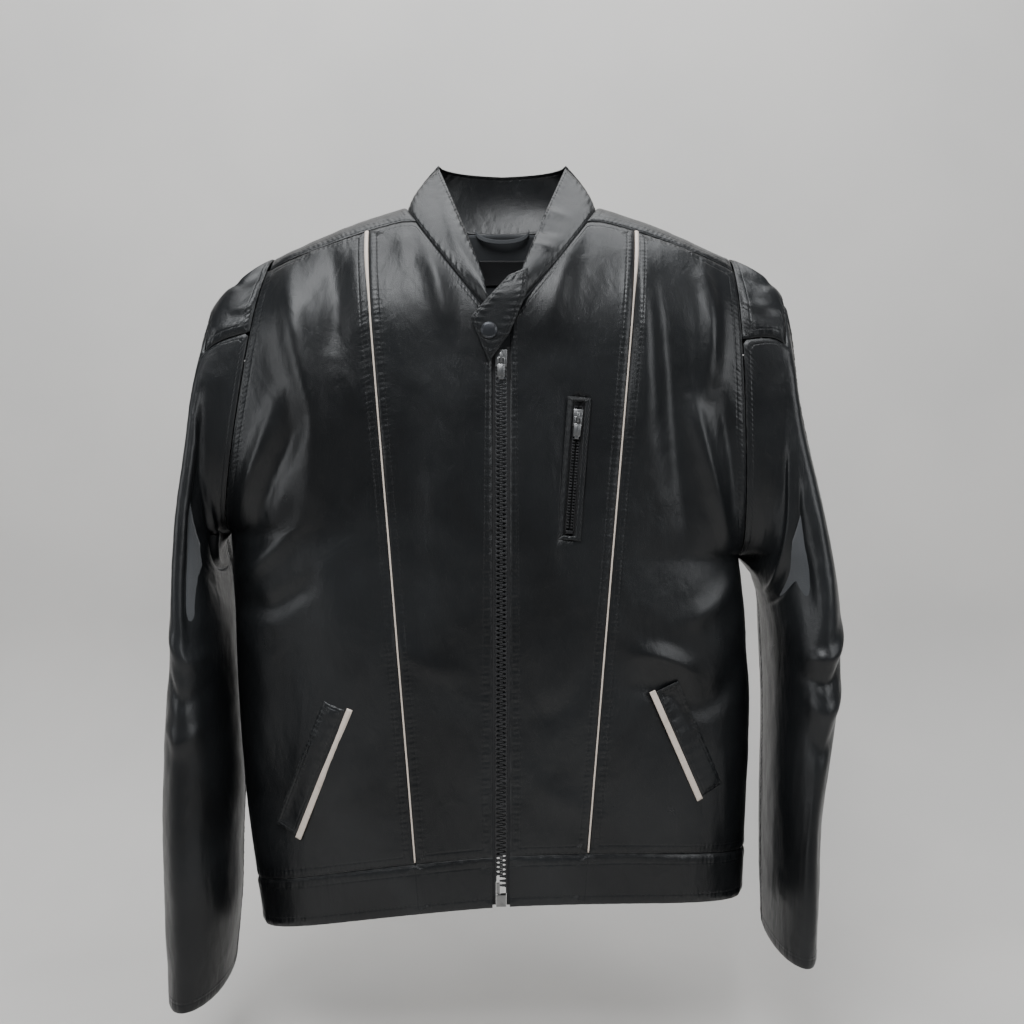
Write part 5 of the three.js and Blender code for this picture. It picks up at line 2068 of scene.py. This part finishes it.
@dataclass(frozen=True)
class Snap:
    """The snap on the collar tab."""

    x: float = -10.5
    z: float = -129

    def build(self, tailor: Tailor) -> None:
        """Makes the cap and finishes the socket and the stud.

        Args:
            tailor: The shared tailor.
        """
        rim = Smith.disc((self.x, -82.75, self.z), 7.3, 1.3, 0.5)
        dome = Smith.disc((self.x, -83.4, self.z), 6.3, 1.9, 0.9)
        ring = Smith.ring((self.x, -83.55, self.z), 6.4, 0.4)
        cap = Smith.join("snap_cap", [rim, dome, ring], tailor.finishes.snap)
        tailor.hang(cap, Body.TAB)
        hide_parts("snap_cap")
        for name in ("snap_socket", "snap_stud"):
            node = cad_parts[name]
            node.data.materials.clear()
            node.data.materials.append(tailor.finishes.snap)


@dataclass(frozen=True)
class ChestPocket:
    """The zipped chest pocket."""

    x: float = 64
    z: float = -249
    length: float = 127
    width: float = 22
    slot: float = 9.6
    tilt: float = 4.3
    y: float = -71.15
    slider_z: float = 45

    @property
    def centre(self) -> Triple:
        """Middle of the pocket's mouth."""
        return (self.x, 0.0, self.z)

    def turned(self, x: Array, y: Array, z: Array) -> Array:
        """Points given beside the pocket's own middle, in the jacket's frame."""
        c, s = math.cos(math.radians(self.tilt)), math.sin(math.radians(self.tilt))
        return np.stack([self.x + x * c + z * s, y + 0 * x, self.z - x * s + z * c], -1)

    def well(self, points: Array) -> Array:
        """How far the front leather drops away behind the pocket's mouth.

        Args:
            points: Points of a surface.

        Returns:
            Depths in millimetres.
        """
        c, s = math.cos(math.radians(self.tilt)), math.sin(math.radians(self.tilt))
        x, z = points[..., 0] - self.x, points[..., 2] - self.z
        across, along = x * c - z * s, x * s + z * c
        return np.where((np.abs(across) < 6.6) & (np.abs(along) < self.length / 2 - 3), 9.0, 0.0)

    def build(self, tailor: Tailor) -> None:
        """Makes it.

        Args:
            tailor: The shared tailor.
        """
        body, leather = "left_front", tailor.finishes.collar
        self.frame(tailor, leather)
        half = self.length / 2

        def strip(x0: float, x1: float, z0: float, z1: float, y: float) -> Grid:
            """A flat patch at a depth behind the leather."""
            return lambda u, v: self.turned(lerp(x0, x1, u), y + 0 * u, lerp(z0, z1, v))

        cut = Cut(thick=0.7, roll=0.0, pucker=0.0, groove=0.0)
        grid = np.linspace(0, 1, 8), np.linspace(0, 1, 60)
        tape = Panel("chest_zip_tape", self.two_strips(half), np.linspace(0, 1, 30), grid[1], None, cut)
        tailor.panel(tape, body, tailor.finishes.tape, ["chest_zip_tape"], rests=("front_panel_left",))
        bag = Panel(
            "chest_pocket_bag", strip(-30, 22, -110, 60, -60.4), np.linspace(0, 1, 30), grid[1], None, cut
        )
        tailor.panel(bag, body, tailor.finishes.lining, ["chest_pocket_bag"], rests=("chest_zip_tape",))
        self.teeth(tailor, half)
        pivot = self.centre
        z = self.z + self.slider_z
        MainZip.slider(tailor, "chest_slider", Body.CHEST_SLIDER, self.y, z, self.x, 4.2, self.tilt, pivot)
        pull = pull_tag("chest_pull", self.y - 4.05, z, 19, 6.4, tailor.finishes.metal)
        Smith.only(pull)
        bpy.ops.transform.translate(value=(self.x * MM, 0, 0))
        Smith.tilt(pull, self.tilt, pivot)
        tailor.hang(pull, Body.CHEST_PULL)
        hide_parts("chest_pull")

    def two_strips(self, half: float) -> Grid:
        """The tape: it dips back between the two rows of teeth."""

        def point(u: Array, v: Array) -> Array:
            """Points of the surface for shares u and v."""
            x = lerp(-11.5, 11.5, u)
            y = self.y - 0.4 + 3.4 * (1 - smoothstep(np.abs(x), 1.2, 3.6))
            return self.turned(x, y, lerp(-half + 2, half - 2, v))

        return point

    def frame(self, tailor: Tailor, leather: bpy.types.Material) -> None:
        """The leather welt round the zip, as one ring of leather."""
        inner, outer = (self.slot / 2, self.length / 2 - 5), (self.width / 2, self.length / 2)

        def loop(half: tuple[float, float], t: Array) -> tuple[Array, Array]:
            """A point on the outline of a rectangle, t from 0 to 1 round it."""
            corner = np.array([[-1, -1], [1, -1], [1, 1], [-1, 1], [-1, -1]], float) * np.array(half)
            stop = np.array([0, 0.08, 0.5, 0.58, 1.0])
            return np.interp(t, stop, corner[:, 0]), np.interp(t, stop, corner[:, 1])

        def point(u: Array, v: Array) -> Array:
            """Points of the surface for shares u and v."""
            (x0, z0), (x1, z1) = loop(inner, v), loop(outer, v)
            x, z = lerp(x0, x1, u), lerp(z0, z1, u)
            y = -75.5 - 1.2 * np.sin(np.pi * np.clip(u, 0, 1)) ** 0.5
            return self.turned(x, y, z)

        vs = np.unique(
            np.concatenate(
                [
                    np.linspace(0, 0.08, 9),
                    np.linspace(0.08, 0.5, 70),
                    np.linspace(0.5, 0.58, 9),
                    np.linspace(0.58, 1, 70)
                ]
            )
        )
        cut = Cut(
            thick=1.3,
            roll=0.6,
            roll_width=1.2,
            groove=0.05,
            pucker=0.15,
            pucker_step=8,
            sewn=(Edge.U0, Edge.U1)
        )
        panel = Panel("chest_pocket_frame", point, spaced(5, 6.2, (0.3, 0.7, 1.3)), vs, None, cut)
        rows = ((Edge.U1, 1.6),)
        tailor.panel(panel, "left_front", leather, ["chest_pocket_frame"], rows, rests=("front_panel_left",))

    def teeth(self, tailor: Tailor, half: float) -> None:
        """Two rows of small moulded teeth that stand a little apart."""
        rows = []
        for sign in (-1, 1):
            x0, x1 = sorted((self.x + sign * 3.4, self.x + sign * 0.75))
            tooth = Smith.box(
                (x0, self.y - 1.1, self.z + half - 9.4), (x1, self.y + 1.1, self.z + half - 8.0), 0.3
            )
            rows.append(Smith.repeat(tooth, int((2 * half - 17) / 2.6), (0, 0, -2.6)))
            x0, x1 = sorted((self.x + sign * 4.0, self.x + sign * 3.0))
            rows.append(
                Smith.box((x0, self.y - 0.9, self.z - half + 8), (x1, self.y + 0.9, self.z + half - 8), 0.3)
            )
        rows.append(
            Smith.box(
                (self.x - 3.4, self.y - 1.4, self.z - half + 6),
                (self.x + 3.4, self.y + 1.4, self.z - half + 9),
                0.4
            )
        )
        obj = Smith.join("chest_zip_teeth", rows, tailor.finishes.teeth)
        Smith.tilt(obj, self.tilt, self.centre)
        tailor.hang(obj, "left_front")
        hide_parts("chest_zip_teeth")


@dataclass(frozen=True)
class HandPocket:
    """A slanted welt pocket with a cream strip along its mouth."""

    side: Side
    x: float
    z: float
    length: float
    tilt: float
    width: float = 22

    def strip(self, low: float, high: float, length: float, lift: float) -> Grid:
        """A strip laid on the body beside the pocket's line."""
        c, s = math.cos(math.radians(self.tilt)), math.sin(math.radians(self.tilt))

        def point(u: Array, v: Array) -> Array:
            """Points of the surface for shares u and v."""
            across, up = lerp(low, high, u), (v - 0.5) * length
            p = TORSO.on(self.side, self.x + across * c - up * s, self.z + across * s + up * c, Face.FRONT)
            p[..., 1] -= lift
            return p

        return point

    def build(self, tailor: Tailor) -> None:
        """Makes it.

        Args:
            tailor: The shared tailor.
        """
        name = self.side.name
        edge = Cut(thick=1.9, roll=0.7, roll_width=1.1, groove=0.05, pucker=0.12, pucker_step=9)
        us, vs = spaced(4, 5.4, (0.3, 0.8, 1.4)), spaced(46, self.length)
        strip = Panel(
            "hand_pocket_strip_" + name,
            self.strip(-2.7, 2.7, self.length, 2.6),
            us,
            vs,
            tailor.front_drape,
            edge
        )
        rests = ("front_side_panel_" + name,)
        tailor.panel(strip, Body.ROOT, tailor.finishes.piping, [strip.name], rests=rests)
        welt = Cut(thick=1.8, roll=0.9, roll_width=1.6, groove=0.1, pucker=0.2, pucker_step=10)
        us, vs = spaced(9, self.width), spaced(44, self.length)
        grid = self.strip(3.0, 3.0 + self.width, self.length - 4, 2.2)
        panel = Panel("hand_pocket_welt_" + name, grid, us, vs, tailor.front_drape, welt)
        rows = ((Edge.V0, 2.4), (Edge.V1, 2.4), (Edge.U0, 2.2))
        tailor.panel(panel, Body.ROOT, tailor.finishes.collar, [panel.name], rows, rests=rests)

        def bag(u: Array, v: Array) -> Array:
            x = lerp(self.x - 46, self.x + 11, u)
            p = TORSO.on(self.side, x, self.z + lerp(-50, 48, v), Face.FRONT)
            p[..., 1] += 5.5 + 3 * np.sin(np.pi * u) * np.sin(np.pi * v)
            return p

        cut = Cut(thick=0.7, roll=0.0, pucker=0.0, groove=0.0)
        pouch = Panel("hand_pocket_bag_" + name, bag, np.linspace(0, 1, 24), np.linspace(0, 1, 34), None, cut)
        tailor.panel(pouch, Body.ROOT, tailor.finishes.lining, [pouch.name], rests=rests)


# ---------- The studio ----------
@dataclass(frozen=True)
class Studio:
    """A pale floor and backdrop, soft lights and the camera."""

    floor: float = -0.80
    eye: Triple = (0.0095, -0.95, -0.287)
    lens: float = 35.1

    def build(self) -> None:
        """Makes the set, the lights and the camera."""
        paper = Plain("pale_paper", (0.62, 0.6, 0.575), (0.57, 0.555, 0.535), 3, 0.85).material()
        turn = np.linspace(0, np.pi / 2, 14)
        y = np.concatenate([[-3.0], 0.25 + 0.35 * np.sin(turn), [0.6]]) / MM
        z = (np.concatenate([[0], 0.35 * (1 - np.cos(turn)), [2.6]]) + self.floor) / MM
        points = [(x / MM, b, c) for x in (-3.0, 3.0) for b, c in zip(y, z)]
        n = len(y)
        faces = [[i, i + 1, n + i + 1, n + i] for i in range(n - 1)]
        mesh_object("studio_sweep", np.array(points), faces, paper)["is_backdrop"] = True
        self.light("key", (-0.35, -1.25, 1.15), (0.0, 0.0, -0.2), 0.85, 27)
        self.light("fill", (1.35, -1.1, 0.35), (0.1, 0.0, -0.3), 0.9, 11)
        self.light("side", (-1.6, -0.8, 0.1), (-0.1, 0.0, -0.3), 0.8, 7)
        self.light("wall", (0.0, 0.05, 1.5), (0.0, 0.62, -0.1), 1.6, 40)
        world = bpy.data.worlds.new("soft")
        world.use_nodes = True
        background = world.node_tree.nodes["Background"]
        background.inputs["Color"].default_value = (0.86, 0.92, 1.0, 1)
        background.inputs["Strength"].default_value = 0.16
        bpy.context.scene.world = world
        data = bpy.data.cameras.new("camera")
        data.lens, data.sensor_width, data.clip_start = self.lens, 36, 0.01
        camera = bpy.data.objects.new("camera", data)
        camera.location, camera.rotation_euler = self.eye, (math.pi / 2, 0, 0)
        bpy.context.scene.collection.objects.link(camera)
        bpy.context.scene.camera = camera

    def light(self, name: str, place: Triple, target: Triple, size: float, power: float) -> None:
        """A soft square light.

        Args:
            name: Its name.
            place: Where it stands.
            target: What it looks at.
            size: Its side.
            power: Its power in watts.
        """
        data = bpy.data.lights.new(name, "AREA")
        data.size, data.energy, data.color = size, power, (0.96, 0.98, 1.0)
        lamp = bpy.data.objects.new(name, data)
        aim = np.array(target) - np.array(place)
        lamp.location = place
        flat = math.hypot(aim[0], aim[1])
        lamp.rotation_euler = (math.atan2(flat, -aim[2]), 0, math.atan2(-aim[0], aim[1]))
        bpy.context.scene.collection.objects.link(lamp)


def main() -> None:
    """Builds the jacket and the studio in order."""
    logging.basicConfig(level=logging.INFO, format="%(message)s")
    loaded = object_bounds()
    tailor = Tailor(Finishes())
    Shell().build(tailor)
    LOG.info("shell done, %d pieces", tailor.count)
    Collar().build(tailor)
    Arms().build(tailor)
    LOG.info("collar and sleeves done, %d pieces", tailor.count)
    MainZip().build(tailor)
    Snap().build(tailor)
    ChestPocket().build(tailor)
    HandPocket(RIGHT, 158, -520, 128, 22.5).build(tailor)
    HandPocket(LEFT, 156, -495, 108, 24).build(tailor)
    LOG.info("hardware and pockets done, %d pieces", tailor.count)
    Studio().build()
    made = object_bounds()
    rows = [
        f"{name} {[round(float(c), 4) for p in box for c in p]}" for name,
        box in (("frame", loaded), ("look", made))
    ]
    "\n".join(rows) + "\n"
    LOG.info("sizes: %s", rows)


if __name__ == "__main__":
    main()
